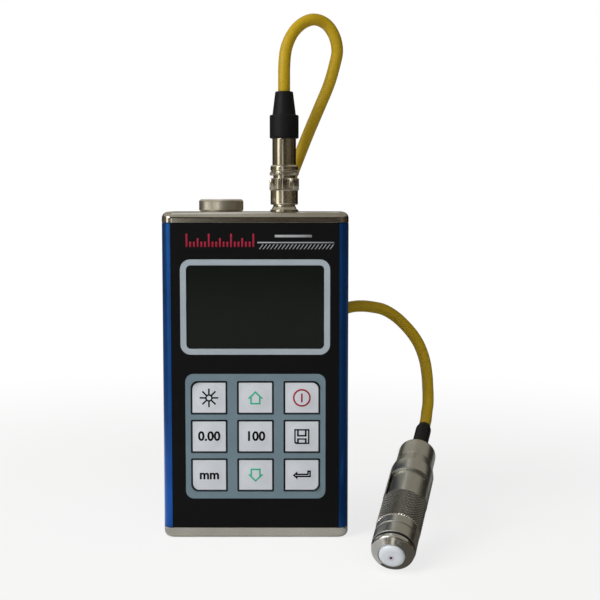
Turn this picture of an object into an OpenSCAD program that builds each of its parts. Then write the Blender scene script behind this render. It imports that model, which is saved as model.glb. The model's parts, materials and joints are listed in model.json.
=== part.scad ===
// Coating thickness gauge: an extruded case with a film keypad and a display, a screw-in
// battery cap, a push-pull plug, a short stiff cable and a hand probe with a sprung tip.
// Millimetres, +Z up, +Y towards the back, origin under the middle of the case.

/* [Case] */
// Width of the extruded case
case_w = 76; // [72:1:84]
// Depth of the extruded case
case_d = 32; // [32:1:38]
// Length of the extruded case between its end caps
case_len = 125; // [122:1:140]
// Corner radius of the case section
case_r = 4.5; // [3.5:0.5:6]
// Thickness of the side and back walls
case_wall = 2.4; // [2:0.1:3]
// Thickness of the front wall behind the film
front_wall = 1.6; // [1.2:0.1:2]
// Radius of the screw bosses in the four corners
boss_r = 3.2; // [2.8:0.1:3.6]
// Width of the recess that holds the front film
panel_w = 68.4; // [64:0.2:70]

/* [End caps] */
// Thickness of each end cap
cap_t = 4.6; // [3.5:0.1:6]
// Rounding of the outer edge of each end cap
cap_edge_r = 2.6; // [1.5:0.1:3]
// Chamfer of each end cap where it meets the case
cap_seat_edge = 0.3; // [0.1:0.05:0.5]
// Thread diameter of the end cap screws
screw_d = 2.5; // [2:0.1:3]
// Head diameter of the end cap screws
screw_head_d = 4.2; // [3.8:0.1:5]
// Length of the end cap screws
screw_len = 10; // [8:0.5:14]

/* [Display] */
// Width of the display window
window_w = 56; // [48:0.5:58]
// Height of the display window
window_h = 34; // [28:0.5:36]
// Corner radius of the display window
window_r = 1.8; // [1:0.1:3]
// Width of the pale border round the window
border_w = 2.4; // [1.5:0.1:3]
// Distance of the middle of the window below the top end cap
window_drop = 34; // [32:0.1:37]
// Thickness of the window lens
lens_t = 1; // [0.8:0.1:1.2]

/* [Keypad] */
// Width of the keypad field
pad_w = 57.2; // [55:0.2:62]
// Height of the keypad field
pad_h = 51.6; // [49:0.2:54]
// Corner radius of the keypad field
pad_r = 3.3; // [2:0.1:5]
// Height of the middle of the keypad above the table
pad_z = 42.5; // [38:0.1:44]
// Width of a key opening
key_w = 14.3; // [12:0.1:16]
// Height of a key opening
key_h = 13.1; // [11:0.1:14]
// Margin between the outer key openings and the sides of the keypad field
pad_margin_x = 2.5; // [1.5:0.05:3.5]
// Margin between the outer key openings and the top and bottom of the keypad field
pad_margin_z = 3.25; // [2:0.05:4]
// Radius of the outer corner of a corner key
key_outer_r = 2.9; // [1:0.1:4]
// Radius of the other key corners
key_corner_r = 0.5; // [0.2:0.1:1]
// Gap between a key and its opening
key_gap = 0.4; // [0.2:0.05:0.6]
// Rise of the domed face of a key
key_rise = 0.4; // [0.2:0.05:0.8]
// Travel of a key
key_travel = 0.4; // [0.2:0.05:0.6]

/* [Battery] */
// Diameter of a cell
cell_d = 14.2; // [13.5:0.1:14.5]
// Length of a cell with its button
cell_len = 50.5; // [49:0.1:51.5]
// Wall of the battery tube
tube_wall = 0.65; // [0.5:0.05:1]
// Distance of the battery tube left of the middle
battery_x = 14.8; // [12:0.1:20]
// Diameter of the knurled battery cap
bcap_d = 18.6; // [17.5:0.1:20]
// Height of the battery cap above the end cap
bcap_h = 5.1; // [4:0.1:8]
// Thread diameter of the battery cap
bcap_thread_d = 15.6; // [15.4:0.1:16]
// Depth of the knurl on the battery cap
bcap_knurl = 0.35; // [0.2:0.05:0.5]

/* [Plug] */
// Distance of the socket right of the middle
plug_x = 11.6; // [9:0.1:16]
// Diameter of the socket flange
flange_d = 11.8; // [11:0.1:13]
// Diameter of the socket neck
neck_d = 9.2; // [8.6:0.1:9.4]
// Diameter of the coupling sleeve below its knurl
sleeve_d = 11.5; // [11:0.1:12]
// Diameter of the knurled band of the coupling sleeve
sleeve_knurl_d = 12.4; // [12:0.1:13]
// Pull of the coupling sleeve
sleeve_travel = 1; // [0.5:0.1:1.5]
// Diameter of the plug's rear tube
plug_tube_d = 9.9; // [9.5:0.1:10.2]
// Length of the plug's rear tube that shows
plug_tube_len = 11; // [8:0.5:14]
// Diameter of the plug's rubber boot
boot_d = 12.1; // [11.5:0.1:13]
// Length of the straight part of the boot
boot_len = 9.7; // [7:0.1:12]
// Length of the tapered part of the boot
boot_taper_len = 9.7; // [7:0.1:12]

/* [Cable] */
// Diameter of the cable
cable_d = 5; // [4:0.1:5.2]

/* [Probe] */
// Distance of the probe tip right of the middle
probe_x = 52; // [50:0.1:60]
// Distance of the probe tip in front of the middle
probe_y = 63.8; // [55:0.1:70]
// Slope of the probe below the horizontal
probe_dip = 23; // [20:1:30]
// Turn of the probe's rear end from straight back, towards the right
probe_turn = 14.5; // [10:0.5:20]
// Diameter of the white tip
tip_d = 10; // [8:0.1:10.6]
// Travel of the sprung tip, which stands this far out of the nose
tip_travel = 1.2; // [0.8:0.1:1.5]
// Length of the rounded nose with the tip
nose_len = 4.2; // [3.5:0.1:5]
// Diameter of the rounded nose at its foot
nose_d = 16.6; // [16:0.1:17]
// Thickness of the black nose seal
seal_t = 1.1; // [0.8:0.1:1.4]
// Diameter of the front ring
ring_d = 17.1; // [16.8:0.1:18]
// Length of the front ring
ring_len = 10; // [8:0.1:12]
// Diameter of the knurled sleeve
grip_d = 17.6; // [17:0.1:19]
// Length of the knurled sleeve
grip_len = 16.4; // [14:0.1:20]
// Depth of the knurl on the sleeve
grip_knurl = 0.35; // [0.2:0.05:0.5]
// Diameter of the core that shows in the windows
core_d = 15.4; // [14.8:0.1:15.8]
// Diameter of the guide sleeve with its two windows
guide_d = 17.7; // [17.2:0.1:18.6]
// Length of the guide sleeve
guide_len = 26; // [24:0.1:30]
// Length of the sloped shoulder at the rear of the guide sleeve
shoulder_len = 5.7; // [4:0.1:7]
// Length of the windows in the guide sleeve
slot_len = 13.7; // [11:0.1:16]
// Width of the windows in the guide sleeve
slot_w = 14.6; // [10:0.1:15.2]
// Diameter of the probe's rear cap
rear_d = 15.5; // [14.4:0.1:16]
// Length of the rear cap that shows
rear_len = 10.2; // [8:0.1:13]
// Diameter of the probe's rubber boot
probe_boot_d = 6.6; // [6:0.1:8]
// Length of the probe's rubber boot
probe_boot_len = 20; // [16:0.1:24]
// Length of the cone at the end of the probe's rubber boot
probe_boot_cone = 2.5; // [1:0.1:3.5]

/* [Hidden] */
$fn = 64;
// Overshoot of a cut, and running, fixed and sliding clearances
eps = 0.5;
clear = 0.1;
fit_gap = 0.05;
slide_gap = 0.3;
// Least gap between the display's border and the keypad field
print_gap = 1.5;
total_h = case_len + 2 * cap_t;
case_top = cap_t + case_len;
// The window hangs below the top cap, and in a short case it rests above the keypad
window_z = max(case_top - window_drop, pad_z + pad_h / 2 + print_gap + border_w + window_h / 2);

// Layers of the front, from the case's face inwards
film_sink = 0.1;
print_t = 0.2;
key_plate_t = 0.3;
dome_h = 0.3;
dome_r = 4;
dome_top_r = 2.4;
circuit_t = 0.4;
film_t = key_plate_t + key_travel + dome_h + clear;
recess_depth = film_sink + film_t + circuit_t;
film_front_y = film_sink - case_d / 2;
circuit_front_y = film_front_y + film_t;
recess_y = circuit_front_y + circuit_t;
inner_front_y = recess_y + front_wall;
inner_back_y = case_d / 2 - case_wall;
inner_w = case_w - 2 * case_wall;
inner_r = case_r - case_wall;
boss_bite = 0.4;
boss_x = inner_w / 2 - boss_r + boss_bite;
boss_front_y = inner_front_y + boss_r - boss_bite;
boss_back_y = inner_back_y - boss_r + boss_bite;
lens_seat = 2;
key_pitch_x = (pad_w - key_w) / 2 - pad_margin_x;
key_pitch_z = (pad_h - key_h) / 2 - pad_margin_z;

// Display module and circuit board
lcd_depth = 6.2;
lcd_frame_w = 2 * (boss_x - boss_r - slide_gap);
lcd_margin = 2.5;
lcd_frame_h = window_h + 2 * lcd_margin;
lcd_rim = 0.8;
lcd_glass_t = 2;
backlight_t = 2.5;
board_y = inner_front_y + lcd_depth;
board_t = 1.6;
board_w = inner_w - 2 * slide_gap;
board_margin = 5;
part_step = 2;
rib_t = 1;
rib_reach = 1.6;
tail_w = 12;
tail_t = 0.3;
tail_rise = 5;
tail_z = cap_t + tail_rise;

// Battery tube, from its mouth under the top cap downwards
tube_r = cell_d / 2 + 0.35 + tube_wall;
tube_gap = 0.5;
top_y = board_y + board_t + tube_gap + tube_r;
tube_flange_r = tube_r + 1.4;
tube_flange_t = 1.5;
contact_drop = 3.4;
cells_top = case_top - contact_drop - clear;
cells_bottom = cells_top - 2 * cell_len;
tube_spring_len = 5;
tube_floor_t = 1.5;
tube_bottom = cells_bottom - tube_spring_len - tube_floor_t;
cell_button_r = 2.7;
cell_button_h = 1.4;
bcap_chamfer = 0.8;
bcap_teeth = 56;

// Heights of the plug's pieces above the table
flange_t = 0.8;
socket_r = neck_d / 2;
socket_bore_r = 3.4;
socket_drop = 7;
socket_nut_d = 14;
socket_nut_t = 2.5;
sleeve_rise = 2.8;
sleeve_z = total_h + sleeve_rise;
sleeve_plain_len = 5.9;
sleeve_knurl_len = 5.2;
sleeve_top = sleeve_z + sleeve_plain_len + sleeve_knurl_len;
sleeve_teeth = 40;
sleeve_knurl = 0.3;
neck_rise = 4.4;
neck_top = total_h + neck_rise;
nut_z = sleeve_top + sleeve_travel + clear;
nut_ring_len = 1.5;
nut_collar_len = 2.8;
nut_ring_d = sleeve_knurl_d - 0.2;
nut_top = nut_z + nut_ring_len + nut_collar_len;
boot_z = nut_top + plug_tube_len;
boot_stub_len = 5.6;
boot_stub_r = plug_tube_d / 2 - 0.7;
boot_taper_r0 = 4.9;
boot_taper_r1 = 3.7;
boot_top = boot_z + boot_len + boot_taper_len;
pin_r = 0.45;
pin_circle_r = 1.9;

// Stations along the probe, from the front of its white tip to the rear
floor_gap = 0.1;
tip_len = 4.2;
pole_r = 0.5;
nose_land = 0.1;
nose_bore_r = tip_d / 2 + clear;
nose_rim_r = nose_bore_r + 0.2;
nose_round = [
    for (a = [0 : 15 : 90]) [
        nose_rim_r + (nose_d / 2 - nose_rim_r) * sin(a),
        nose_len - (nose_len - tip_travel) * cos(a)
    ]
];
seal_z = nose_len + nose_land;
ring_z = seal_z + seal_t;
nose_shank_r = 6.4;
nose_shank_len = 9;
grip_z = ring_z + ring_len;
grip_bore_r = nose_shank_r + fit_gap;
guide_z = grip_z + grip_len;
guide_bore_r = core_d / 2 + fit_gap;
slot_z = guide_z;
rear_z = guide_z + guide_len;
probe_len = rear_z + rear_len;
core_len = guide_len - shoulder_len;
core_bore_r = 5;
coil_r = 4.6;
coil_len = 7;
plunger_len = 11;
plunger_z = tip_len + coil_len;
spring_z = plunger_z + plunger_len;
spring_wire_r = 0.4;
spring_r = (core_bore_r + grip_bore_r) / 2;
rear_bore_r = 2.9;
rear_edge_r = 1.7;
boot_root = 3;
grip_teeth = 60;
probe_azimuth = 90 - probe_turn;
probe_dir = [
    cos(probe_dip) * cos(probe_azimuth),
    cos(probe_dip) * sin(probe_azimuth),
    sin(probe_dip)
];
probe_tip_z = floor_gap + max([
    for (p = concat(nose_round, [[ring_d / 2, ring_z], [grip_d / 2, grip_z]]))
        p[0] * cos(probe_dip) - p[1] * sin(probe_dip)
]);
probe_point = [probe_x, -probe_y, probe_tip_z];

// The cable's route: up from the plug in a small loop, down behind the case, then over to the
// probe. The first and last two points follow the two boots.
cable_lead = 5;
cable_start = [plug_x, top_y, boot_top];
cable_end = probe_point + (probe_len + probe_boot_len) * probe_dir;
route = concat(
    [cable_start, cable_start + [0, 0, cable_lead]],
    [
        [11.7, 4.2, 195.5],
        [12.5, 5.5, 202],
        [15, 7, 208],
        [19, 9, 212.5],
        [24, 10.5, 214.5],
        [29, 12.5, 213],
        [32.5, 13.5, 208.5],
        [34, 15, 202.5],
        [33, 16, 196.5],
        [30.5, 17, 188],
        [26.5, 18, 178.5],
        [22, 18.5, 168],
        [17, 19.2, 155.5],
        [11, 19.5, 140],
        [5.5, 19.5, 125],
        [3, 19.5, 112.5],
        [6, 19.5, 100.5],
        [13.5, 19.5, 92.5],
        [22, 19.5, 89.5],
        [31, 19.5, 90],
        [40, 19.5, 92.5],
        [45, 19.5, 93],
        [50, 19.8, 92.5],
        [54.6, 20.4, 91.4],
        [59.3, 21.4, 88.7],
        [63.5, 22.6, 85],
        [67.8, 24, 80.1],
        [71.1, 25.4, 74.7],
        [73.5, 26.7, 68.1],
        [74.7, 27.5, 61.3],
        [75.1, 27.6, 55.5],
        [75.2, 27.1, 52],
        [75, 25.7, 48.6],
        [74.3, 23.3, 45.7]
    ],
    [cable_end + cable_lead * probe_dir, cable_end]
);
cable_sides = 10;
wire_sides = 6;

KEYS = [
    ["key_backlight", -1, 1], ["key_up", 0, 1], ["key_power", 1, 1],
    ["key_zero", -1, 0], ["key_calibrate", 0, 0], ["key_save", 1, 0],
    ["key_unit", -1, -1], ["key_down", 0, -1], ["key_enter", 1, -1]
];

// Sweeps along a list of points

function unit(v) = v / norm(v);

// One point of the smooth curve through p[i] and p[i + 1]
function spline_at(p, i, u) =
    let (n = len(p) - 1)
    let (a = p[max(i - 1, 0)], b = p[i], c = p[i + 1], d = p[min(i + 2, n)])
    b + u / 2 * ((c - a) + u * ((2 * a - 5 * b + 4 * c - d) + u * (3 * b - a - 3 * c + d)));

// The curve through the points, with one more point in the middle of each span
function smoothed(p) = concat(
    [for (i = [0 : len(p) - 2], u = [0, 0.5]) spline_at(p, i, u)],
    [p[len(p) - 1]]
);

// Directions along the points, with the ends square to the given directions
function headings(p, first, last) = [
    for (i = [0 : len(p) - 1])
        i == 0 ? first : i == len(p) - 1 ? last : unit(p[i + 1] - p[i - 1])
];

// Side vectors carried along the headings without twist
function carried(t, i, side) =
    let (s = unit(side - (side * t[i]) * t[i]))
    i == len(t) - 1 ? [s] : concat([s], carried(t, i + 1, s));

// A round rod of radius r along the points
module swept_rod(p, r, sides, first, last) {
    t = headings(p, first, last);
    s = carried(t, 0, cross(t[0], [0.3, 1, 0.2]));
    rings = len(p);
    points = [
        for (i = [0 : rings - 1], k = [0 : sides - 1])
            p[i] + r * (cos(360 * k / sides) * s[i] + sin(360 * k / sides) * cross(t[i], s[i]))
    ];
    walls = [
        for (i = [0 : rings - 2], k = [0 : sides - 1], half = [0, 1])
            let (a = i * sides + k, b = i * sides + (k + 1) % sides)
            half == 0 ? [a, a + sides, b + sides] : [a, b + sides, b]
    ];
    start_face = [for (k = [0 : sides - 1]) k];
    end_face = [for (k = [sides - 1 : -1 : 0]) (rings - 1) * sides + k];
    polyhedron(points, concat([start_face], walls, [end_face]), convexity = 10);
}

// A coil spring standing on z0 and reaching z1
module coil_spring(r, wire_r, z0, z1, turns) {
    steps = turns * 10;
    low = z0 + wire_r;
    rise = z1 - z0 - 2 * wire_r;
    p = [
        for (i = [0 : steps])
            [r * cos(36 * i), r * sin(36 * i), low + rise * i / steps]
    ];
    swept_rod(p, wire_r, wire_sides, [0, 1, 0], [0, 1, 0]);
}

// Flat shapes

// Rectangle about the origin with corner radii in the order left low, right low, left high,
// right high
module soft_rect(w, h, radii) {
    difference() {
        square([w, h], center = true);
        for (i = [0 : 3]) {
            sx = i % 2 == 0 ? -1 : 1;
            sy = i < 2 ? -1 : 1;
            r = radii[i];
            translate([sx * w / 2, sy * h / 2]) difference() {
                square(2 * r, center = true);
                translate([-sx * r, -sy * r]) circle(r);
            }
        }
    }
}

module round_rect(w, h, r) soft_rect(w, h, [r, r, r, r]);

// Star outline of a straight knurl
module star(r, depth, teeth) {
    polygon([
        for (i = [0 : 2 * teeth - 1])
            (i % 2 == 0 ? r : r - depth) * [cos(180 * i / teeth), sin(180 * i / teeth)]
    ]);
}

// Placing

// A flat shape stood on the front, its back on plane y, with x right and z up
module on_front(y, t) translate([0, y, 0]) rotate([90, 0, 0]) linear_extrude(t) children();

module at_window(y, t) on_front(y, t) translate([0, window_z]) children();

module at_cap_screws() {
    for (sx = [-1, 1], y = [boss_front_y, boss_back_y]) translate([sx * boss_x, y, 0]) children();
}

module at_battery() translate([-battery_x, top_y, 0]) children();

module at_plug() translate([plug_x, top_y, 0]) children();

module at_probe() translate(probe_point) rotate([0, 90 - probe_dip, probe_azimuth]) children();

// A turned piece from its half section, given as radius and height
module turned(section) rotate_extrude() polygon(section);

// A knurled drum from z0 to z1, its lower and upper edges cut back by a chamfer
module knurled_band(r, depth, teeth, z0, z1, low_cut, high_cut) {
    over = r + clear;
    intersection() {
        translate([0, 0, z0 - eps]) linear_extrude(z1 - z0 + 2 * eps) star(r, depth, teeth);
        turned([
            [0, z0], [r - low_cut, z0], [over, z0 + low_cut + clear],
            [over, z1 - high_cut - clear], [r - high_cut, z1], [0, z1]
        ]);
    }
}

// Case

module case_section() {
    difference() {
        round_rect(case_w, case_d, case_r);
        translate([0, (inner_front_y + inner_back_y) / 2])
            round_rect(inner_w, inner_back_y - inner_front_y, inner_r);
        translate([0, recess_y - recess_depth])
            square([panel_w, 2 * recess_depth], center = true);
    }
    for (sx = [-1, 1], y = [board_y - clear - rib_t, board_y + board_t + clear])
        translate([sx * (inner_w / 2 - rib_reach / 2 + clear), y + rib_t / 2])
            square([rib_reach + 2 * clear, rib_t], center = true);
    at_cap_screws() circle(boss_r);
}

module case_extrusion() {
    color("#1C5591") difference() {
        translate([0, 0, cap_t]) linear_extrude(case_len) difference() {
            case_section();
            at_cap_screws() circle(screw_d / 2 + fit_gap);
        }
        at_window(inner_front_y + eps, front_wall + 2 * eps)
            square([window_w - 2 * lens_seat, window_h - 2 * lens_seat], center = true);
        on_front(inner_front_y + eps, front_wall + 2 * eps) translate([0, tail_z])
            square([tail_w + 2 * slide_gap, tail_t + 2 * slide_gap], center = true);
    }
}

// Section of an end cap of the given width, its outer edge rounded and its seat chamfered
module cap_profile(w) {
    difference() {
        translate([-w / 2, 0]) square([w, cap_t]);
        for (sx = [-1, 1]) translate([sx * w / 2, cap_t]) difference() {
            square(2 * cap_edge_r, center = true);
            translate([-sx * cap_edge_r, -cap_edge_r]) circle(cap_edge_r);
        }
        for (sx = [-1, 1]) translate([sx * w / 2, 0]) polygon([
            [-sx * cap_seat_edge, 0], [-sx * cap_seat_edge, -eps], [sx * eps, -eps],
            [sx * eps, cap_seat_edge], [0, cap_seat_edge]
        ]);
    }
}

// An end cap with its outer face up and its seat on z = 0
module cap_blank() {
    straight_x = case_w - 2 * case_r;
    straight_y = case_d - 2 * case_r;
    rotate([90, 0, 90]) translate([0, 0, -straight_x / 2])
        linear_extrude(straight_x) cap_profile(case_d);
    rotate([90, 0, 0]) translate([0, 0, -straight_y / 2])
        linear_extrude(straight_y) cap_profile(case_w);
    for (sx = [-1, 1], sy = [-1, 1])
        translate([sx * straight_x / 2, sy * straight_y / 2, 0])
            rotate_extrude() intersection() {
                cap_profile(2 * case_r);
                square([case_r, cap_t]);
            }
}

module screw_hole() {
    head_r = screw_head_d / 2 + clear;
    neck_r = screw_d / 2 + clear;
    translate([0, 0, -eps]) cylinder(r = neck_r, h = cap_t + 2 * eps);
    translate([0, 0, cap_t - clear - (head_r - neck_r)])
        cylinder(r1 = neck_r, r2 = head_r, h = head_r - neck_r);
    translate([0, 0, cap_t - clear]) cylinder(r = head_r, h = eps + clear);
}

module top_cap() {
    color("#A5A49E") translate([0, 0, case_top]) difference() {
        cap_blank();
        at_cap_screws() screw_hole();
        at_battery() translate([0, 0, -eps])
            cylinder(d = bcap_thread_d + 2 * clear, h = cap_t + 2 * eps);
        at_plug() translate([0, 0, -eps])
            cylinder(r = socket_r + fit_gap, h = cap_t + 2 * eps);
    }
}

module bottom_cap() {
    color("#A5A49E") translate([0, 0, cap_t]) mirror([0, 0, 1]) difference() {
        cap_blank();
        at_cap_screws() screw_hole();
    }
}

// A countersunk screw with its head up, flush below z = 0
module cap_screw() {
    head_r = screw_head_d / 2;
    sink = 2 * clear;
    cross_w = 0.6;
    cross_depth = 0.6;
    difference() {
        turned([
            [0, -screw_len], [screw_d / 2, -screw_len],
            [screw_d / 2, -sink - (head_r - screw_d / 2)], [head_r, -sink], [0, -sink]
        ]);
        for (turn = [0, 90]) rotate(turn) translate([0, 0, -sink])
            cube([0.6 * screw_head_d, cross_w, 2 * cross_depth], center = true);
    }
}

module top_cap_screws() color("#8E8E8A") at_cap_screws() translate([0, 0, total_h]) cap_screw();

module bottom_cap_screws() color("#8E8E8A") at_cap_screws() mirror([0, 0, 1]) cap_screw();

// Front film, keypad and keys

module window_shape(grow) {
    round_rect(window_w + 2 * grow, window_h + 2 * grow, window_r + grow);
}

// Outline of one key, larger by grow; a corner key has one rounder corner
module key_shape(k, grow) {
    radii = [
        for (sz = [-1, 1], sx = [-1, 1])
            (sx == k[1] && sz == k[2] ? key_outer_r : key_corner_r) + grow
    ];
    translate([k[1] * key_pitch_x, pad_z + k[2] * key_pitch_z])
        soft_rect(key_w + 2 * grow, key_h + 2 * grow, radii);
}

module pad_shape() translate([0, pad_z]) round_rect(pad_w, pad_h, pad_r);

module front_film() {
    color("#151517") difference() {
        on_front(circuit_front_y, film_t) translate([0, cap_t + case_len / 2])
            square([panel_w - 2 * clear, case_len], center = true);
        at_window(circuit_front_y + eps, film_t + 2 * eps) window_shape(0);
        at_window(film_front_y + print_t, print_t + eps) window_shape(border_w);
        on_front(film_front_y + print_t, print_t + eps) pad_shape();
        on_front(circuit_front_y + eps, film_t + 2 * eps) for (k = KEYS) key_shape(k, 0);
    }
}

module window_border() {
    color("#A0ABB2") at_window(film_front_y + print_t, print_t) difference() {
        window_shape(border_w);
        window_shape(0);
    }
}

module keypad_sheet() {
    color("#70828C") on_front(film_front_y + print_t, print_t) difference() {
        pad_shape();
        for (k = KEYS) key_shape(k, 0);
    }
}

module membrane_circuit() {
    tail_reach = board_y - recess_y - slide_gap;
    color("#2A2C33") {
        difference() {
            on_front(recess_y, circuit_t) translate([0, cap_t + case_len / 2])
                square([panel_w - 2 * clear, case_len], center = true);
            at_window(recess_y + eps, circuit_t + 2 * eps) window_shape(0);
        }
        on_front(recess_y + tail_reach, tail_reach + circuit_t / 2) translate([0, tail_z])
            square([tail_w, tail_t], center = true);
    }
}

// Shallow round dome on the plane y, bulging to the front
module shallow_dome(y, r, rise) {
    ball = (r * r + rise * rise) / (2 * rise);
    translate([0, y, 0]) rotate([90, 0, 0]) rotate_extrude() intersection() {
        square([r, rise]);
        translate([0, rise - ball]) circle(ball, $fn = 720);
    }
}

module key_domes() {
    color("#B8B8B4") for (k = KEYS)
        translate([k[1] * key_pitch_x, circuit_front_y, pad_z + k[2] * key_pitch_z])
            rotate([90, 0, 0]) cylinder(r1 = dome_r, r2 = dome_top_r, h = dome_h);
}

module key(k) {
    color("#CDCDD2") {
        on_front(film_front_y + key_plate_t, key_plate_t) key_shape(k, -key_gap);
        translate([k[1] * key_pitch_x, 0, pad_z + k[2] * key_pitch_z])
            shallow_dome(film_front_y, key_h / 2 - 2 * key_gap, key_rise);
    }
}

// Display and circuit board

module display_lens() {
    color("#20241F", 0.6) at_window(recess_y, lens_t) window_shape(-clear);
}

module lcd_frame() {
    color("#26282A") difference() {
        at_window(board_y - clear, lcd_depth - 2 * clear)
            square([lcd_frame_w, lcd_frame_h], center = true);
        at_window(inner_front_y + clear + lcd_glass_t + backlight_t, lcd_depth)
            square([lcd_frame_w - 2 * lcd_rim, lcd_frame_h - 2 * lcd_rim], center = true);
    }
}

module lcd_sheet(depth, t) {
    at_window(inner_front_y + clear + depth + t, t) square([
        lcd_frame_w - 2 * lcd_rim - 2 * clear, lcd_frame_h - 2 * lcd_rim - 2 * clear
    ], center = true);
}

module lcd_panel() color("#191C19") lcd_sheet(0, lcd_glass_t);

module backlight() color("#D9DED6") lcd_sheet(lcd_glass_t, backlight_t);

module main_board() {
    color("#1E5B34") on_front(board_y + board_t, board_t) translate([0, cap_t + case_len / 2])
        square([board_w, case_len - 2 * board_margin], center = true);
}

// Chips and parts on the back of the board: place as a share of the board, size in steps
module board_parts() {
    parts = [
        [0.2, 0.46, 6, 6, 0.8], [0.2, 0.3, 5, 3, 0.8], [0.34, 0.64, 4, 2.5, 1.5],
        [0.12, 0.64, 2.5, 5.5, 1.75], [0.37, 0.45, 2, 4, 1], [0.23, 0.13, 8, 3, 2]
    ];
    color("#1B1B1D") for (c = parts)
        on_front(board_y + board_t + c[4] * part_step, c[4] * part_step)
            translate([c[0] * board_w, cap_t + c[1] * case_len])
                square([c[2] * part_step, c[3] * part_step], center = true);
}

// Battery

module battery_tube() {
    bore_r = tube_r - tube_wall;
    color("#2B2B2E") at_battery() turned([
        [0, tube_bottom], [tube_r, tube_bottom], [tube_r, case_top - tube_flange_t],
        [tube_flange_r, case_top - tube_flange_t], [tube_flange_r, case_top],
        [bore_r, case_top], [bore_r, tube_bottom + tube_floor_t], [0, tube_bottom + tube_floor_t]
    ]);
}

module battery_cells() {
    r = cell_d / 2;
    body = cell_len - cell_button_h;
    color("#3F6B4A") at_battery() for (i = [0, 1])
        translate([0, 0, cells_bottom + i * cell_len]) turned([
            [0, 0], [r, 0], [r, body], [cell_button_r, body], [cell_button_r, cell_len],
            [0, cell_len]
        ]);
}

module tube_spring() {
    spring_r = cell_d / 2 - 2;
    color("#B9B9B4") at_battery() coil_spring(
        spring_r, 0.45, tube_bottom + tube_floor_t + fit_gap, cells_bottom - fit_gap, 4
    );
}

// Sprung cup under the battery cap that presses on the cell's button
module battery_contact() {
    wall = 0.5;
    foot_r = 2;
    rim_r = 5.5;
    low = case_top - contact_drop;
    color("#C9A659") at_battery() turned([
        [0, low], [foot_r, low], [rim_r, case_top - wall], [rim_r, case_top],
        [rim_r - wall, case_top], [foot_r - wall / 2, low + wall], [0, low + wall]
    ]);
}

module battery_cap() {
    r = bcap_d / 2;
    color("#A5A49E") at_battery() translate([0, 0, total_h]) {
        knurled_band(r, bcap_knurl, bcap_teeth, 0, bcap_h, 2 * bcap_knurl, bcap_chamfer);
        translate([0, 0, -cap_t]) cylinder(d = bcap_thread_d, h = cap_t + bcap_h / 2);
    }
}

// Socket and plug

module at_pins() for (a = [45 : 90 : 315]) rotate(a) translate([pin_circle_r, 0, 0]) children();

module probe_socket() {
    low = case_top - socket_drop;
    color("#B0AFA8") at_plug() turned([
        [socket_bore_r, low], [socket_r, low], [socket_r, total_h], [flange_d / 2, total_h],
        [flange_d / 2, total_h + flange_t / 2], [flange_d / 2 - flange_t / 2, total_h + flange_t],
        [socket_r, total_h + flange_t], [socket_r, neck_top], [socket_bore_r, neck_top]
    ]);
}

module socket_insert() {
    low = case_top - socket_drop;
    color("#1D1D1F") at_plug() difference() {
        translate([0, 0, low]) cylinder(r = socket_bore_r - fit_gap, h = neck_top - low);
        at_pins() translate([0, 0, total_h]) cylinder(r = pin_r + clear, h = neck_top);
    }
}

module socket_nut() {
    color("#A5A49E") at_plug() translate([0, 0, case_top - socket_nut_t]) difference() {
        cylinder(d = socket_nut_d, h = socket_nut_t, $fn = 6);
        translate([0, 0, -eps]) cylinder(r = socket_r + fit_gap, h = socket_nut_t + 2 * eps);
    }
}

module plug_shell() {
    low = neck_top + slide_gap;
    tube_r = plug_tube_d / 2;
    color("#B0AFA8") at_plug() turned([
        [socket_bore_r, low], [socket_r, low], [socket_r, nut_z], [tube_r, nut_z],
        [tube_r, boot_z], [boot_stub_r, boot_z], [boot_stub_r, boot_z + boot_stub_len],
        [socket_bore_r, boot_z + boot_stub_len]
    ]);
}

module plug_insert() {
    low = neck_top + slide_gap;
    pin_len = neck_top - total_h - 2 * clear + slide_gap;
    color("#1D1D1F") at_plug() {
        translate([0, 0, low]) cylinder(r = socket_bore_r - fit_gap, h = nut_z - low);
        at_pins() translate([0, 0, low - pin_len]) cylinder(r = pin_r, h = pin_len + eps);
    }
}

module plug_sleeve() {
    r = sleeve_d / 2;
    bore_r = socket_r + slide_gap;
    step_z = sleeve_z + sleeve_plain_len;
    edge = 0.4;
    color("#A5A49E") at_plug() difference() {
        union() {
            turned([
                [0, sleeve_z], [r - edge, sleeve_z], [r, sleeve_z + edge], [r, step_z + edge],
                [0, step_z + edge]
            ]);
            knurled_band(
                sleeve_knurl_d / 2, sleeve_knurl, sleeve_teeth, step_z, sleeve_top,
                2 * sleeve_knurl, 2 * sleeve_knurl
            );
        }
        translate([0, 0, sleeve_z - eps]) cylinder(r = bore_r, h = sleeve_top - sleeve_z + 2 * eps);
    }
}

module plug_back_nut() {
    r = sleeve_d / 2;
    edge = 0.6;
    color("#A5A49E") at_plug() difference() {
        union() {
            knurled_band(
                nut_ring_d / 2, sleeve_knurl, sleeve_teeth, nut_z, nut_z + nut_ring_len,
                2 * sleeve_knurl, 2 * sleeve_knurl
            );
            turned([
                [0, nut_z], [r, nut_z], [r, nut_top - edge], [r - edge, nut_top], [0, nut_top]
            ]);
        }
        translate([0, 0, nut_z - eps])
            cylinder(d = plug_tube_d + 2 * fit_gap, h = nut_top - nut_z + 2 * eps);
    }
}

module plug_boot() {
    r = boot_d / 2;
    edge = 0.5;
    step_z = boot_z + boot_len;
    inner = boot_stub_r + fit_gap;
    inner_top = boot_z + boot_stub_len + fit_gap;
    color("#1A1A1C") at_plug() turned([
        [inner, boot_z], [r - edge, boot_z], [r, boot_z + edge], [r, step_z - edge],
        [r - edge, step_z], [boot_taper_r0, step_z], [boot_taper_r1, boot_top], [0, boot_top],
        [0, inner_top], [inner, inner_top]
    ]);
}

// Cable

module probe_cable() {
    color("#C9A92C")
        swept_rod(smoothed(route), cable_d / 2, cable_sides, [0, 0, 1], -probe_dir);
}

// Probe

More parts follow.
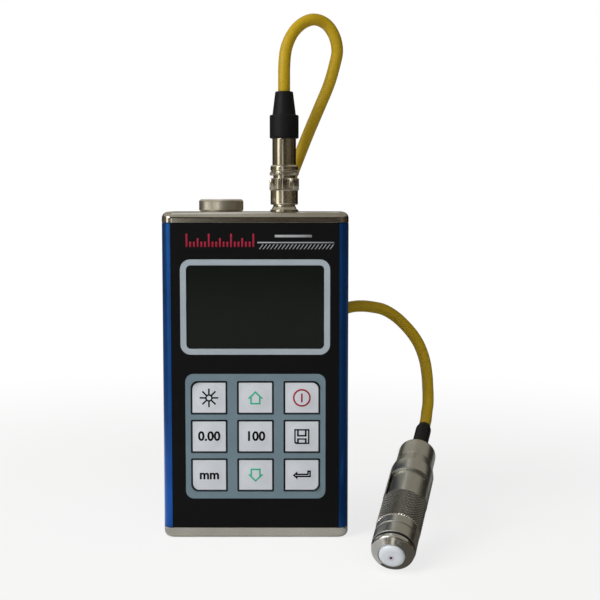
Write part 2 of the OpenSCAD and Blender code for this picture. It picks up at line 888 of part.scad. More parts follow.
module probe_boot() {
    r = probe_boot_d / 2;
    top = probe_len + probe_boot_len;
    color("#1A1A1C") at_probe() turned([
        [0, probe_len - boot_root], [rear_bore_r - fit_gap, probe_len - boot_root],
        [rear_bore_r - fit_gap, probe_len], [r, probe_len], [r, top - probe_boot_cone],
        [cable_d / 2 + clear, top], [0, top]
    ]);
}

// Rear cap with a rounded back edge, and a fine chamfer where it meets the guide sleeve
module probe_rear_cap() {
    r = rear_d / 2;
    inner = r - rear_edge_r;
    color("#8F8E84") at_probe() rotate_extrude() {
        polygon([
            [rear_bore_r, rear_z], [r - clear, rear_z], [r, rear_z + clear],
            [r, probe_len - rear_edge_r], [inner, probe_len - rear_edge_r], [inner, probe_len],
            [rear_bore_r, probe_len]
        ]);
        translate([inner, probe_len - rear_edge_r]) intersection() {
            circle(rear_edge_r);
            square(rear_edge_r);
        }
    }
}

// Guide sleeve: a ring with a sloped shoulder, and two arms left by two opposite windows
module guide_sleeve() {
    r = guide_d / 2;
    step = 0.6;
    color("#8F8E84") at_probe() difference() {
        turned([
            [guide_bore_r, guide_z], [r - step, guide_z], [r, guide_z + 2 * step],
            [r, rear_z - shoulder_len], [rear_d / 2, rear_z - clear], [rear_d / 2 - clear, rear_z],
            [guide_bore_r - 1, rear_z], [guide_bore_r - 1, guide_z + core_len],
            [guide_bore_r, guide_z + core_len]
        ]);
        translate([0, 0, slot_z + slot_len / 2 - eps / 2])
            cube([2 * guide_d, slot_w, slot_len + eps], center = true);
    }
}

module core_tube() {
    color("#9A998E") at_probe() turned([
        [core_bore_r, guide_z], [core_d / 2, guide_z], [core_d / 2, guide_z + core_len],
        [core_bore_r, guide_z + core_len]
    ]);
}

module probe_spring() {
    color("#B9B9B4") at_probe() coil_spring(
        spring_r, spring_wire_r, spring_z + fit_gap, guide_z - fit_gap, 5
    );
}

module knurled_sleeve() {
    color("#6F6E66") at_probe() difference() {
        knurled_band(
            grip_d / 2, grip_knurl, grip_teeth, grip_z, guide_z, 2 * grip_knurl, 2 * grip_knurl
        );
        translate([0, 0, grip_z - eps]) cylinder(r = grip_bore_r, h = grip_len + 2 * eps);
    }
}

// Front ring: two polished bands parted by a fine groove
module front_ring() {
    r = ring_d / 2;
    edge = 0.3;
    groove_z = ring_z + 5.4;
    groove = 0.35;
    color("#A9A89E") at_probe() turned([
        [grip_bore_r, ring_z], [r - edge, ring_z], [r, ring_z + edge], [r, groove_z],
        [r - groove, groove_z + groove], [r, groove_z + 2 * groove], [r, grip_z - edge],
        [r - edge, grip_z], [grip_bore_r, grip_z]
    ]);
}

module nose_seal() {
    r = seal_t / 2;
    color("#111112") at_probe() translate([0, 0, seal_z + r])
        rotate_extrude() translate([nose_d / 2 - r + clear, 0]) circle(r);
}

// Nose with a rounded front, open for the tip, and a shank that holds the rings together
module nose_cone() {
    shank_z = seal_z + nose_shank_len;
    color("#B7B6AE") at_probe() turned(concat([[nose_bore_r, tip_travel]], nose_round, [
        [nose_d / 2, seal_z], [nose_shank_r, seal_z], [nose_shank_r, shank_z],
        [nose_bore_r, shank_z]
    ]));
}

// White tip with a softened front edge and a hole for the pole
module probe_tip() {
    r = tip_d / 2;
    edge = 0.5;
    hole_r = pole_r + fit_gap;
    color("#DDDDE4") at_probe() turned([
        [hole_r, 0], [r - 2 * edge, edge / 4], [r - edge / 2, edge], [r, 2 * edge],
        [r, tip_len], [hole_r, tip_len]
    ]);
}

module probe_pole() {
    color("#2B2426") at_probe() cylinder(r = pole_r, h = tip_len);
}

module sensor_coil() {
    color("#A8672F") at_probe() translate([0, 0, tip_len]) cylinder(r = coil_r, h = coil_len);
}

module probe_plunger() {
    color("#9A998E") at_probe() translate([0, 0, plunger_z])
        cylinder(r = tip_d / 2, h = plunger_len);
}

case_extrusion();
top_cap();
bottom_cap();
top_cap_screws();
bottom_cap_screws();
front_film();
window_border();
keypad_sheet();
membrane_circuit();
key_domes();
for (k = KEYS) key(k);
display_lens();
lcd_panel();
lcd_frame();
backlight();
main_board();
board_parts();
battery_tube();
battery_cells();
tube_spring();
battery_contact();
battery_cap();
probe_socket();
socket_insert();
socket_nut();
plug_shell();
plug_insert();
plug_sleeve();
plug_back_nut();
plug_boot();
probe_cable();
probe_boot();
probe_rear_cap();
guide_sleeve();
core_tube();
probe_spring();
knurled_sleeve();
front_ring();
nose_seal();
nose_cone();
probe_tip();
probe_pole();
sensor_coil();
probe_plunger();
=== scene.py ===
"""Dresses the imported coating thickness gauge: finishes, printed front, turned metal and cable.

A piece is modelled in millimetres about its own axis, then set down in metres on its seat.
"""

import json
import logging
import math
from dataclasses import dataclass
from enum import Enum
from typing import Callable, Optional, Sequence

import bpy
from mathutils import Euler, Matrix, Vector


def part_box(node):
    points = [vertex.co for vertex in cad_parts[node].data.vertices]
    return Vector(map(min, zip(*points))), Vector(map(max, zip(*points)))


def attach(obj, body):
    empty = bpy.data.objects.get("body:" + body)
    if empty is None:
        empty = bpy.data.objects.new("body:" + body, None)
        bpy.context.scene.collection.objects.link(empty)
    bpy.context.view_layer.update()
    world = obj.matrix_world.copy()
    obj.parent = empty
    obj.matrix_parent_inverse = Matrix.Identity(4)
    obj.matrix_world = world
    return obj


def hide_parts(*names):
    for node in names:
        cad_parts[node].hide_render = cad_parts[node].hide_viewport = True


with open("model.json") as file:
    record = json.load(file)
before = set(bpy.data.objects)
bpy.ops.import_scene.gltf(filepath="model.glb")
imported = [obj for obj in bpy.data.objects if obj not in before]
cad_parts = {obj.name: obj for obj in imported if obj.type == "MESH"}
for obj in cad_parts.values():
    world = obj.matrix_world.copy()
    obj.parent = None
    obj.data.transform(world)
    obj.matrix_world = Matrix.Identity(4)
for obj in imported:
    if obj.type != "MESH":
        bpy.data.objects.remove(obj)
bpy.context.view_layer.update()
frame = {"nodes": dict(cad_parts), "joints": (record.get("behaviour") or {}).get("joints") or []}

LOG = logging.getLogger("gauge")
HOUSING = "housing"
MM = 0.001
FULL_TURN = 2 * math.pi
POLE_LEN = 4.2  # of the probe's pole from the face of the tip, in millimetres

Point2 = tuple[float, float]
Point3 = tuple[float, float, float]
Corner = tuple[float, float, float]  # radius, height and rounding of a half section's corner
Outline = list[Point2]
Socket = bpy.types.NodeSocket
Tree = bpy.types.NodeTree
Piece = bpy.types.Object


def linear(code: str) -> tuple[float, ...]:
    """Turn an sRGB hex colour into linear red, green, blue and alpha.

    Args:
        code: Colour such as "#1B5896".

    Returns:
        Four numbers from 0 to 1.
    """
    channels = (int(code[i:i + 2], 16) / 255 for i in (1, 3, 5))
    bent = [c / 12.92 if c <= 0.04045 else ((c + 0.055) / 1.055) ** 2.4 for c in channels]
    return (*bent, 1.0)


def add_node(tree: Tree, kind: str, inputs: Optional[dict] = None, out: int | str = 0,
             **settings: str) -> Optional[Socket]:
    """Add one shader node with its settings and links.

    Args:
        tree: Node tree that gets the node.
        kind: Blender's name for the node type, after its first word ShaderNode.
        inputs: Socket name or number to a value, or to the output that feeds it.
        out: Name or number of the output that is wanted.
        **settings: Attributes of the node itself.

    Returns:
        That output, or None where the node has none.
    """
    node = tree.nodes.new("ShaderNode" + kind)
    for name, value in settings.items():
        setattr(node, name, value)
    for socket, value in (inputs or {}).items():
        if isinstance(value, Socket):
            tree.links.new(value, node.inputs[socket])
        else:
            node.inputs[socket].default_value = value
    return node.outputs[out] if node.outputs else None


def blank_material(name: str) -> bpy.types.Material:
    """Make a node material that has no nodes yet.

    Args:
        name: Name of the material.

    Returns:
        The empty material.
    """
    made = bpy.data.materials.new(name)
    made.use_nodes = True
    made.node_tree.nodes.clear()
    return made


@dataclass(frozen=True)
class Seat:
    """A line that pieces are built on: a point in metres and the turn that brings +Z onto it."""

    point: Point3
    turn: Point3 = (0.0, 0.0, 0.0)

    def matrix(self) -> Matrix:
        """Give the placement of a piece that was modelled in millimetres."""
        lean = Euler(self.turn).to_matrix().to_4x4()
        return Matrix.Translation(self.point) @ lean @ Matrix.Scale(MM, 4)


def seat_above(node: str, base: str) -> Seat:
    """Find the upright axis of a turned node, with its zero on top of another node.

    Args:
        node: Turned node whose axis is wanted.
        base: Node whose upper face is height zero.

    Returns:
        The seat on that axis.
    """
    low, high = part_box(node)
    middle = (low + high) / 2
    return Seat((middle.x, middle.y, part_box(base)[1].z))


def seat_of_probe() -> Seat:
    """Find the probe's axis from its sliding joint and its pole.

    Returns:
        The seat at the face of the tip, with +Z towards the cable.
    """
    slide = next(j for j in frame["joints"] if j["name"] == "tip_press")
    axis = Vector(slide["axis"]).normalized()
    low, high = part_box("probe_pole")
    point = (low + high) / 2 - axis * (POLE_LEN * MM / 2)
    return Seat(tuple(point), (0.0, math.acos(axis.z), math.atan2(axis.y, axis.x)))


UPRIGHT = Seat((0.0, 0.0, 0.0))
FRONT = Seat((0.0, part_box("front_film")[0].y, 0.0), (math.pi / 2, 0.0, 0.0))
BATTERY = seat_above("battery_cap", "top_cap")
PLUG = seat_above("plug_boot", "top_cap")
PROBE = seat_of_probe()


class Grain(Enum):
    """How the fine pattern of a surface runs, as its stretch along x, y and z."""

    SPECKLE = (1.0, 1.0, 1.0)
    DRAWN = (1.0, 1.0, 150.0)
    TURNED = (400.0, 400.0, 1.0)


@dataclass(frozen=True)
class Finish:
    """What one surface is made of. Sizes are in millimetres and colours are sRGB hex."""

    name: str
    colour: str
    shade: str
    roughness: float
    spread: float = 0.06
    metallic: float = 0.0
    grain: Grain = Grain.SPECKLE
    grain_mm: float = 0.5
    bump_mm: float = 0.0
    patch_mm: float = 14.0
    ior: float = 1.5
    specular: float = 0.5
    seat: Seat = UPRIGHT

    def tint(self, tree: Tree, colour: Socket) -> Socket:
        """Give subclasses a place to print on the colour; the plain finish leaves it."""
        return colour

    def lie(self, tree: Tree, size: Vector) -> Socket:
        """Lay coordinates on the piece, in steps of the given size about the seat.

        Args:
            tree: Node tree of the material.
            size: Step along x, y and z in millimetres.

        Returns:
            The coordinates' socket.
        """
        where = add_node(tree, "TexCoord", out="Object")
        return add_node(tree, "Mapping", {
            "Vector": where, "Location": self.seat.point, "Rotation": self.seat.turn,
            "Scale": size * MM,
        }, vector_type="TEXTURE")

    def from_axis(self, tree: Tree, where: Socket) -> Socket:
        """Measure how far each point is from the seat's axis.

        Args:
            tree: Node tree of the material.
            where: Coordinates in millimetres about the seat.

        Returns:
            The distance's socket, in millimetres.
        """
        flat = add_node(tree, "VectorMath", {0: where, 1: (1, 1, 0)}, operation="MULTIPLY")
        return add_node(tree, "VectorMath", {0: flat}, "Value", operation="LENGTH")

    def material(self) -> bpy.types.Material:
        """Make the finish's material, or hand out the one that is there.

        Returns:
            The node material.
        """
        found = bpy.data.materials.get(self.name)
        if found:
            return found
        made = blank_material(self.name)
        tree = made.node_tree
        fine, patch = (add_node(tree, "TexNoise", {
            "Vector": self.lie(tree, size * Vector(grain.value)), "Scale": 1.0, "Detail": detail,
            "Roughness": rough,
        }) for size, grain, detail, rough in (
            (self.grain_mm, self.grain, 3.0, 0.6), (self.patch_mm, Grain.SPECKLE, 2.0, 0.5),
        ))
        both = add_node(tree, "Math", {0: fine, 1: patch}, operation="MULTIPLY")
        # The ranges are where most of the noise lies, so that the whole span of the finish shows.
        share = add_node(tree, "MapRange", {
            "Value": both, "From Min": 0.12, "From Max": 0.42,
        })
        colour = add_node(tree, "Mix", {
            0: share, 6: linear(self.shade), 7: linear(self.colour),
        }, 2, data_type="RGBA")
        rough = add_node(tree, "MapRange", {
            "Value": fine, "From Min": 0.3, "From Max": 0.7,
            "To Min": self.roughness - self.spread, "To Max": self.roughness + self.spread,
        })
        inputs = {
            "Base Color": self.tint(tree, colour), "Roughness": rough, "Metallic": self.metallic,
            "IOR": self.ior, "Specular IOR Level": self.specular,
        }
        if self.bump_mm:
            inputs["Normal"] = add_node(tree, "Bump", {
                "Height": fine, "Distance": self.bump_mm * MM, "Strength": 1.0,
            })
        shader = add_node(tree, "BsdfPrincipled", inputs)
        add_node(tree, "OutputMaterial", {"Surface": shader})
        return made


@dataclass(frozen=True)
class KnurlFinish(Finish):
    """A knurled metal with painted shade in the bottoms of its grooves, by the distance from the
    axis.
    """

    crest_mm: float = 9.0
    depth_mm: float = 0.35
    painted_groove_shade: str = "#2A2823"
    band_mm: Point2 = (-100.0, 100.0)
    slack_mm: float = 0.03

    def tint(self, tree: Tree, colour: Socket) -> Socket:
        """Darken the colour towards the bottom of the grooves with painted shade, on the knurled
        band alone.

        Args:
            tree: Node tree of the material.
            colour: Colour of the metal without the painted shade.

        Returns:
            The colour with the painted groove shade.
        """
        where = self.lie(tree, Vector((1, 1, 1)))
        reach = self.from_axis(tree, where)
        along = add_node(tree, "SeparateXYZ", {0: where}, "Z")
        root, (low, high) = self.crest_mm - self.depth_mm, self.band_mm
        unmarked = add_node(tree, "MapRange", {
            "Value": reach, "From Min": root, "From Max": self.crest_mm,
        })
        for value, limit, operation in (
            (reach, root - self.slack_mm, "LESS_THAN"), (along, low, "LESS_THAN"),
            (along, high, "GREATER_THAN"),
        ):
            off = add_node(tree, "Math", {0: value, 1: limit}, operation=operation)
            unmarked = add_node(tree, "Math", {0: unmarked, 1: off}, operation="MAXIMUM")
        # Painted shade: the metal's colour goes to the painted groove shade towards the bottom of
        # each groove.
        return add_node(tree, "Mix", {
            0: unmarked, 6: linear(self.painted_groove_shade), 7: colour,
        }, 2, data_type="RGBA")


@dataclass(frozen=True)
class TipFinish(Finish):
    """White acetal with the faint worn ring that contact leaves round the pole."""

    ring_mm: float = 0.9
    width_mm: float = 0.75
    worn: str = "#CFC6CE"

    def tint(self, tree: Tree, colour: Socket) -> Socket:
        """Blend the worn ring into the colour.

        Args:
            tree: Node tree of the material.
            colour: Colour of the clean plastic.

        Returns:
            The colour with the ring.
        """
        reach = self.from_axis(tree, self.lie(tree, Vector((1, 1, 1))))
        off = add_node(tree, "Math", {0: reach, 1: self.ring_mm}, operation="SUBTRACT")
        away = add_node(tree, "Math", {0: off}, operation="ABSOLUTE")
        unmarked = add_node(tree, "MapRange", {
            "Value": away, "From Min": 0.0, "From Max": self.width_mm,
        }, interpolation_type="SMOOTHSTEP")
        return add_node(tree, "Mix", {
            0: unmarked, 6: linear(self.worn), 7: colour,
        }, 2, data_type="RGBA")


# Anodised aluminium, extruded: a satin blue metal with fine die lines that run up the case.
BLUE_CASE = Finish("anodised_aluminium_blue", "#0E4B91", "#0C407D", 0.32, metallic=0.75,
                   grain=Grain.DRAWN, grain_mm=0.35, bump_mm=0.004)
# Die-cast zinc, nickel plated: a warm grey metal, smooth enough to mirror the room softly.
NICKEL = Finish("nickel_plated_zinc", "#C2C0B8", "#B2AFA6", 0.13, 0.006, 1.0, grain_mm=0.8,
                bump_mm=0.001)
# Zinc-plated steel screws: a little greyer than the caps that they hold.
SCREW = Finish("zinc_plated_steel", "#A3A29C", "#85847E", 0.32, metallic=1.0)
# Polyester overlay, matt: a near black film with a fine even grain and hardly any shine.
FILM = Finish("polyester_film_black", "#0F0F10", "#0C0C0D", 0.45, 0.05, grain_mm=0.25,
              bump_mm=0.004, specular=0.08)
# Screen inks under the film: flat colours with the film's faint grain.
BORDER_INK = Finish("screen_ink_pale_grey", "#A6B1B8", "#9BA6AD", 0.45, grain_mm=0.25,
                    bump_mm=0.003, specular=0.2)
PAD_INK = Finish("screen_ink_slate", "#72858F", "#697C86", 0.45, grain_mm=0.25, bump_mm=0.003,
                 specular=0.2)
DARK_INK = Finish("screen_ink_dark", "#08090D", "#060609", 0.45, specular=0.12)
GREEN_INK = Finish("screen_ink_green", "#2DB88F", "#27A882", 0.45, specular=0.2)
RED_INK = Finish("screen_ink_red", "#A61D3B", "#961934", 0.45, specular=0.2)
PALE_INK = Finish("screen_ink_silver", "#A7A9AC", "#989A9D", 0.45, specular=0.2)
# Embossed film over each key: satin, so that the raised round shows by a soft edge of light.
KEY_FILM = Finish("embossed_film_key_grey", "#D0D4D9", "#C8CCD2", 0.36, grain_mm=0.25,
                  bump_mm=0.002)
# Printed circuit behind the keys, seen as the dark line round each one, and its snap domes.
CIRCUIT = Finish("polyester_circuit_dark", "#0C0D14", "#08090E", 0.5, specular=0.1)
DOME = Finish("stainless_snap_dome", "#B8B8B4", "#A5A5A0", 0.3, metallic=1.0)
# Acrylic window: a dark, polished sheet that hides the display while it is off.
LENS = Finish("acrylic_window", "#161915", "#141713", 0.1, 0.01, ior=1.49, specular=0.1)
LCD = Finish("lcd_glass_dark", "#1A1D19", "#151814", 0.2, 0.03)
BACKLIGHT = Finish("light_guide_acrylic", "#D9DED6", "#CCD2C9", 0.35)
# Glass epoxy board with its black parts, and the plain plastic and metal round the cells.
BOARD = Finish("glass_epoxy_board", "#1E5B34", "#174A2A", 0.4)
CHIP = Finish("epoxy_moulded_chips", "#1B1B1D", "#131315", 0.5)
TUBE = Finish("abs_moulded_black", "#2B2B2E", "#222225", 0.45, bump_mm=0.004)
CELL = Finish("printed_cell_sleeve", "#3F6B4A", "#375F41", 0.35)
SPRING = Finish("spring_steel_wire", "#B9B9B4", "#A2A29C", 0.28, metallic=1.0)
BRASS = Finish("contact_brass", "#C9A659", "#B08F48", 0.28, metallic=1.0)
# Moulded rubber: a soft black skin with a fine texture and a dull shine.
RUBBER = Finish("moulded_rubber_black", "#161618", "#101012", 0.5, 0.06, grain_mm=0.3,
                bump_mm=0.006, specular=0.14)
# Flexible PVC jacket: smooth, with a low shine, an even yellow.
JACKET = Finish("pvc_jacket_yellow", "#BA9A17", "#B19113", 0.42, 0.03, grain_mm=2.5,
                bump_mm=0.001, specular=0.22)
# Turned nickel-plated brass: bright and warm, with fine rings round the plug's axis.
PLUG_METAL = Finish("turned_nickel_brass", "#C9C3B4", "#B4AE9E", 0.16, 0.04, 1.0, Grain.TURNED,
                    0.22, 0.0015, seat=PLUG)
# The knurled bands of the plug have painted shade in their grooves.
PLUG_KNURL = KnurlFinish("knurled_nickel_brass", "#D6D0C1", "#C4BEAE", 0.18, 0.04, 1.0,
                         Grain.TURNED, 0.22, 0.0015, seat=PLUG, crest_mm=6.2, depth_mm=0.28,
                         painted_groove_shade="#857F70")
# Knurled zinc, nickel plated: worn dull, so that the cap has one broad soft light; its grooves get
# painted shade.
CAP_KNURL = KnurlFinish("knurled_nickel_zinc", "#DCD8CE", "#CCC7BB", 0.34, 0.05, 1.0,
                        grain_mm=0.5, bump_mm=0.002, seat=BATTERY, crest_mm=9.3, depth_mm=0.15,
                        painted_groove_shade="#857F71")
# Turned stainless steel: duller than the plug, with rings round the probe's axis.
PROBE_STEEL = Finish("turned_stainless_steel", "#BDBDB7", "#AEAEA7", 0.32, 0.05, 1.0,
                     Grain.TURNED, 0.25, 0.003, seat=PROBE)
# The grip's knurl has painted shade in its grooves, on the knurled band alone.
PROBE_KNURL = KnurlFinish("knurled_stainless_steel", "#CDCCC7", "#BBBAB4", 0.26, 0.05, 1.0,
                          grain_mm=0.4, bump_mm=0.002, seat=PROBE, crest_mm=8.8, depth_mm=0.35,
                          painted_groove_shade="#282725", band_mm=(16.0, 31.3))
# Polished chrome on the nose: the brightest metal of the probe.
CHROME = Finish("polished_chrome", "#CBCBC9", "#BDBDBA", 0.18, 0.03, 1.0, Grain.TURNED, 0.3,
                0.001, seat=PROBE)
# White acetal tip with its pole, and the coil behind it.
ACETAL = TipFinish("white_acetal", "#DFE4EA", "#D8DDE4", 0.34, seat=PROBE)
POLE = Finish("hardened_pole", "#2B2426", "#1E191A", 0.3, metallic=0.6, seat=PROBE)
COPPER = Finish("enamelled_copper", "#A8672F", "#8F5525", 0.35, metallic=0.8)
INSULATOR = Finish("insulator_black", "#1D1D1F", "#161618", 0.45)

KEYS = ("backlight", "up", "power", "zero", "calibrate", "save", "unit", "down", "enter")
NODE_FINISH = {
    "case_extrusion": BLUE_CASE, "top_cap": NICKEL, "bottom_cap": NICKEL, "top_cap_screws": SCREW,
    "bottom_cap_screws": SCREW, "front_film": FILM, "window_border": BORDER_INK,
    "keypad_sheet": PAD_INK, "membrane_circuit": CIRCUIT, "key_domes": DOME, "display_lens": LENS,
    "lcd_panel": LCD, "lcd_frame": TUBE, "backlight": BACKLIGHT, "main_board": BOARD,
    "board_parts": CHIP, "battery_tube": TUBE, "battery_cells": CELL, "tube_spring": SPRING,
    "battery_contact": BRASS, "socket_insert": INSULATOR, "socket_nut": NICKEL,
    "plug_insert": INSULATOR, "probe_spring": SPRING, "core_tube": PROBE_STEEL,
    "probe_pole": POLE, "sensor_coil": COPPER, "probe_plunger": PROBE_STEEL,
    **{"key_" + key: KEY_FILM for key in KEYS},
}

SIDES = 96  # facets round a plain turned piece
PLAIN_DEG = 32.0  # an edge sharper than this stays sharp in the shading
KNURL_DEG = 14.0  # the same on a diamond knurl, so that its pyramids keep their ridges
NEAR = 0.01  # slack when a point is looked for by its place
MERGE = 0.0005  # points closer than this are one
HOLD = 0.04  # share of a flat between a rounding and the point that holds the flat's shading
CUT_SHARE = 0.45  # most of an edge that one rounding may take


def deselect() -> None:
    """Deselect every object, so that an operator acts on the new piece alone."""
    bpy.ops.object.select_all(action="DESELECT")


def set_mode(mode: str) -> None:
    """Switch the active object to EDIT or OBJECT mode."""
    bpy.ops.object.mode_set(mode=mode)


def named(name: str) -> Piece:
    """Name the active object and its mesh.

    Args:
        name: Name for both.

    Returns:
        The active object.
    """
    piece = bpy.context.object
    piece.name = piece.data.name = name
    return piece


def softened(corners: Sequence[Corner], steps: int = 4) -> Outline:
    """Round the corners of a closed half section, and hold the flats beside them flat in shading.

    Args:
        corners: Radius, height and rounding of each corner, in order.
        steps: Flats in each rounding.

    Returns:
        The section's points, with the first one repeated at the end.
    """
    made: Outline = []
    for i, (r, z, rounding) in enumerate(corners):
        here = Vector((r, z))
        before, after = (Vector(corners[j % len(corners)][:2]) - here for j in (i - 1, i + 1))
        cut = min(rounding, CUT_SHARE * before.length, CUT_SHARE * after.length)
        if cut < NEAR:
            made.append((r, z))
            continue
        start, end = here + before.normalized() * cut, here + after.normalized() * cut
        made.append(tuple(start + HOLD * before))
        for u in (k / steps for k in range(steps + 1)):
            made.append(tuple((1 - u) ** 2 * start + 2 * u * (1 - u) * here + u * u * end))
        made.append(tuple(end + HOLD * after))
    return made + made[:1]


def turn(name: str, section: Sequence[Point2], sides: int = SIDES) -> Piece:
    """Turn a closed half section into a ring, as on a lathe.

    Args:
        name: Name of the piece.
        section: Radius and height of each point in millimetres, the last equal to the first.
        sides: Facets round the axis.

    Returns:
        The piece about the Z axis, in millimetres.
    """
    deselect()
    radius, height = section[0]
    bpy.ops.mesh.primitive_circle_add(vertices=sides, radius=radius, location=(0, 0, height),
                                      enter_editmode=True)
    for (r0, z0), (r1, z1) in zip(section, section[1:]):
        bpy.ops.mesh.extrude_region_move(TRANSFORM_OT_translate={"value": (0, 0, z1 - z0)})
        bpy.ops.transform.resize(value=(r1 / r0, r1 / r0, 1), center_override=(0, 0, z1))
    bpy.ops.mesh.select_all(action="SELECT")
    bpy.ops.mesh.remove_doubles(threshold=MERGE)
    bpy.ops.mesh.normals_make_consistent(inside=False)
    set_mode("OBJECT")
    bpy.ops.object.transform_apply()
    return named(name)


def press_band(piece: Piece, crest: float, depth: float, ends: Point2,
               sunk: Callable[[float, float], bool]) -> None:
    """Press chosen points of a turned band towards its axis.

    Args:
        piece: Turned piece.
        crest: Radius of the band.
        depth: How far the points go in.
        ends: Lowest and highest height of the band.
        sunk: Says for an angle and a height whether the point there goes in.
    """
    set_mode("EDIT")
    bpy.ops.mesh.select_mode(type="VERT")
    bpy.ops.mesh.select_all(action="DESELECT")
    set_mode("OBJECT")
    for point in piece.data.vertices:
        x, y, z = point.co
        on_band = ends[0] - NEAR < z < ends[1] + NEAR and math.hypot(x, y) > crest - 2 * NEAR
        point.select = on_band and sunk(math.atan2(y, x), z)
    set_mode("EDIT")
    scale = (crest - depth) / crest
    bpy.ops.transform.resize(value=(scale, scale, 1), center_override=(0, 0, 0))
    set_mode("OBJECT")


def evenly(low: float, high: float, rows: int) -> list[float]:
    """Give the heights that cut a band into even rows."""
    return [low + (high - low) * i / rows for i in range(rows + 1)]


def cut_diamonds(piece: Piece, teeth: int, crest: float, depth: float,
                 heights: Sequence[float]) -> None:
    """Press every other point of a turned band inwards, so that its faces become pyramids.

    Args:
        piece: Turned piece with 2 * teeth facets.
        teeth: Pyramids in one turn.
        crest: Radius of the band.
        depth: Depth of the grooves.
        heights: Heights of the band's rings, evenly spaced.
    """
    low, step = heights[0], heights[1] - heights[0]

    def crossing(angle: float, z: float) -> bool:
        """Say whether two grooves cross here."""
        return (round(angle * teeth / math.pi) + round((z - low) / step)) % 2 == 1

    press_band(piece, crest, depth, (low, heights[-1]), crossing)
    set_mode("EDIT")
    bpy.ops.mesh.select_all(action="SELECT")
    bpy.ops.mesh.quads_convert_to_tris(quad_method="SHORTEST_DIAGONAL")
    set_mode("OBJECT")


def set_down(piece: Piece, seat: Seat, smooth: float = PLAIN_DEG) -> None:
    """Put a piece that was modelled in millimetres on its seat, and smooth its shading.

    Args:
        piece: Mesh object at the origin.
        seat: Where it goes.
        smooth: Angle in degrees above which an edge stays sharp.
    """
    deselect()
    piece.matrix_world = seat.matrix()
    piece.select_set(True)
    bpy.context.view_layer.objects.active = piece
    bpy.ops.object.transform_apply()
    bpy.ops.object.shade_smooth_by_angle(angle=math.radians(smooth))


def hand_over(piece: Piece, finish: Finish, body: str, slot: str, *nodes: str) -> None:
    """Give a finished piece its material, its body and the nodes that it stands for.

    Args:
        piece: Finished piece.
        finish: What its surface is.
        body: CAD body that it moves with.
        slot: Material slot of the record; not used.
        *nodes: CAD nodes that it replaces.
    """
    piece.data.materials.clear()
    piece.data.materials.append(finish.material())
    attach(piece, body)
    if nodes:
        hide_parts(*nodes)
    LOG.info("%s: %s on %s", piece.name, finish.name, body)


def make_turned(name: str, seat: Seat, finish: Finish, slot: str, node: str,
                corners: Sequence[Corner], body: str = HOUSING) -> None:
    """Turn one plain piece, set it down and hand it over.

    Args:
        name: Name of the piece.
        seat: Axis that it is turned about.
        finish: What its surface is.
        slot: Material slot of the record.
        node: CAD node that it replaces.
        corners: Radius, height and rounding of each corner of its half section.
        body: CAD body that it moves with.
    """
    piece = turn(name, softened(corners))
    set_down(piece, seat)
    hand_over(piece, finish, body, slot, node)


@dataclass(frozen=True)
class Card:
    """A glowing card that only mirrors see. Sizes are in metres."""

    name: str
    place: Point3
    size: Point2
    colour: str
    strength: float = 1.0
    lean: Point3 = (0.0, 0.0, 0.0)

    @classmethod
    def standing(cls, name: str, azimuth: float, away: float, middle: float, size: Point2,
                 colour: str, strength: float = 1.0) -> "Card":
        """Plan a card that stands upright and faces the gauge.

        Args:
            name: Name of the card.
            azimuth: Where it stands, in degrees from the front round by the right.
            away: Its distance from the gauge.
            middle: Height of its middle.
            size: Width and height.
            colour: Its colour.
            strength: How bright it is.

        Returns:
            The card.
        """
        a = math.radians(azimuth)
        place = (away * math.sin(a), -away * math.cos(a), middle)
        return cls(name, place, size, colour, strength, (math.pi / 2, 0.0, a))

    def make(self) -> None:
        """Add the card and hide it from the camera and from other surfaces."""
        deselect()
        bpy.ops.mesh.primitive_plane_add(size=1, location=self.place, rotation=self.lean)
        card = bpy.context.object
        card.name = self.name
        card.scale = (*self.size, 1)
        card.visible_camera = card.visible_diffuse = card.visible_shadow = False
        made = blank_material(self.name)
        glow = add_node(made.node_tree, "Emission", {
            "Color": linear(self.colour), "Strength": self.strength,
        })
        add_node(made.node_tree, "OutputMaterial", {"Surface": glow})
        card.data.materials.append(made)


@dataclass(frozen=True)
class Lamp:
    """A square soft lamp that points at the gauge. Sizes are in metres."""

    name: str
    place: Point3
    size: float
    watts: float
    mirrored: bool = False
    target: Point3 = (0.0, 0.0, 0.08)

    def make(self) -> None:
        """Hang the lamp, and hide it from mirrors unless it is to show there."""
        aim = (Vector(self.target) - Vector(self.place)).to_track_quat("-Z", "Y")
        bpy.ops.object.light_add(type="AREA", location=self.place, rotation=aim.to_euler())
        lamp = bpy.context.object
        lamp.name = self.name
        lamp.data.size = self.size
        lamp.data.energy = self.watts
        lamp.visible_glossy = self.mirrored


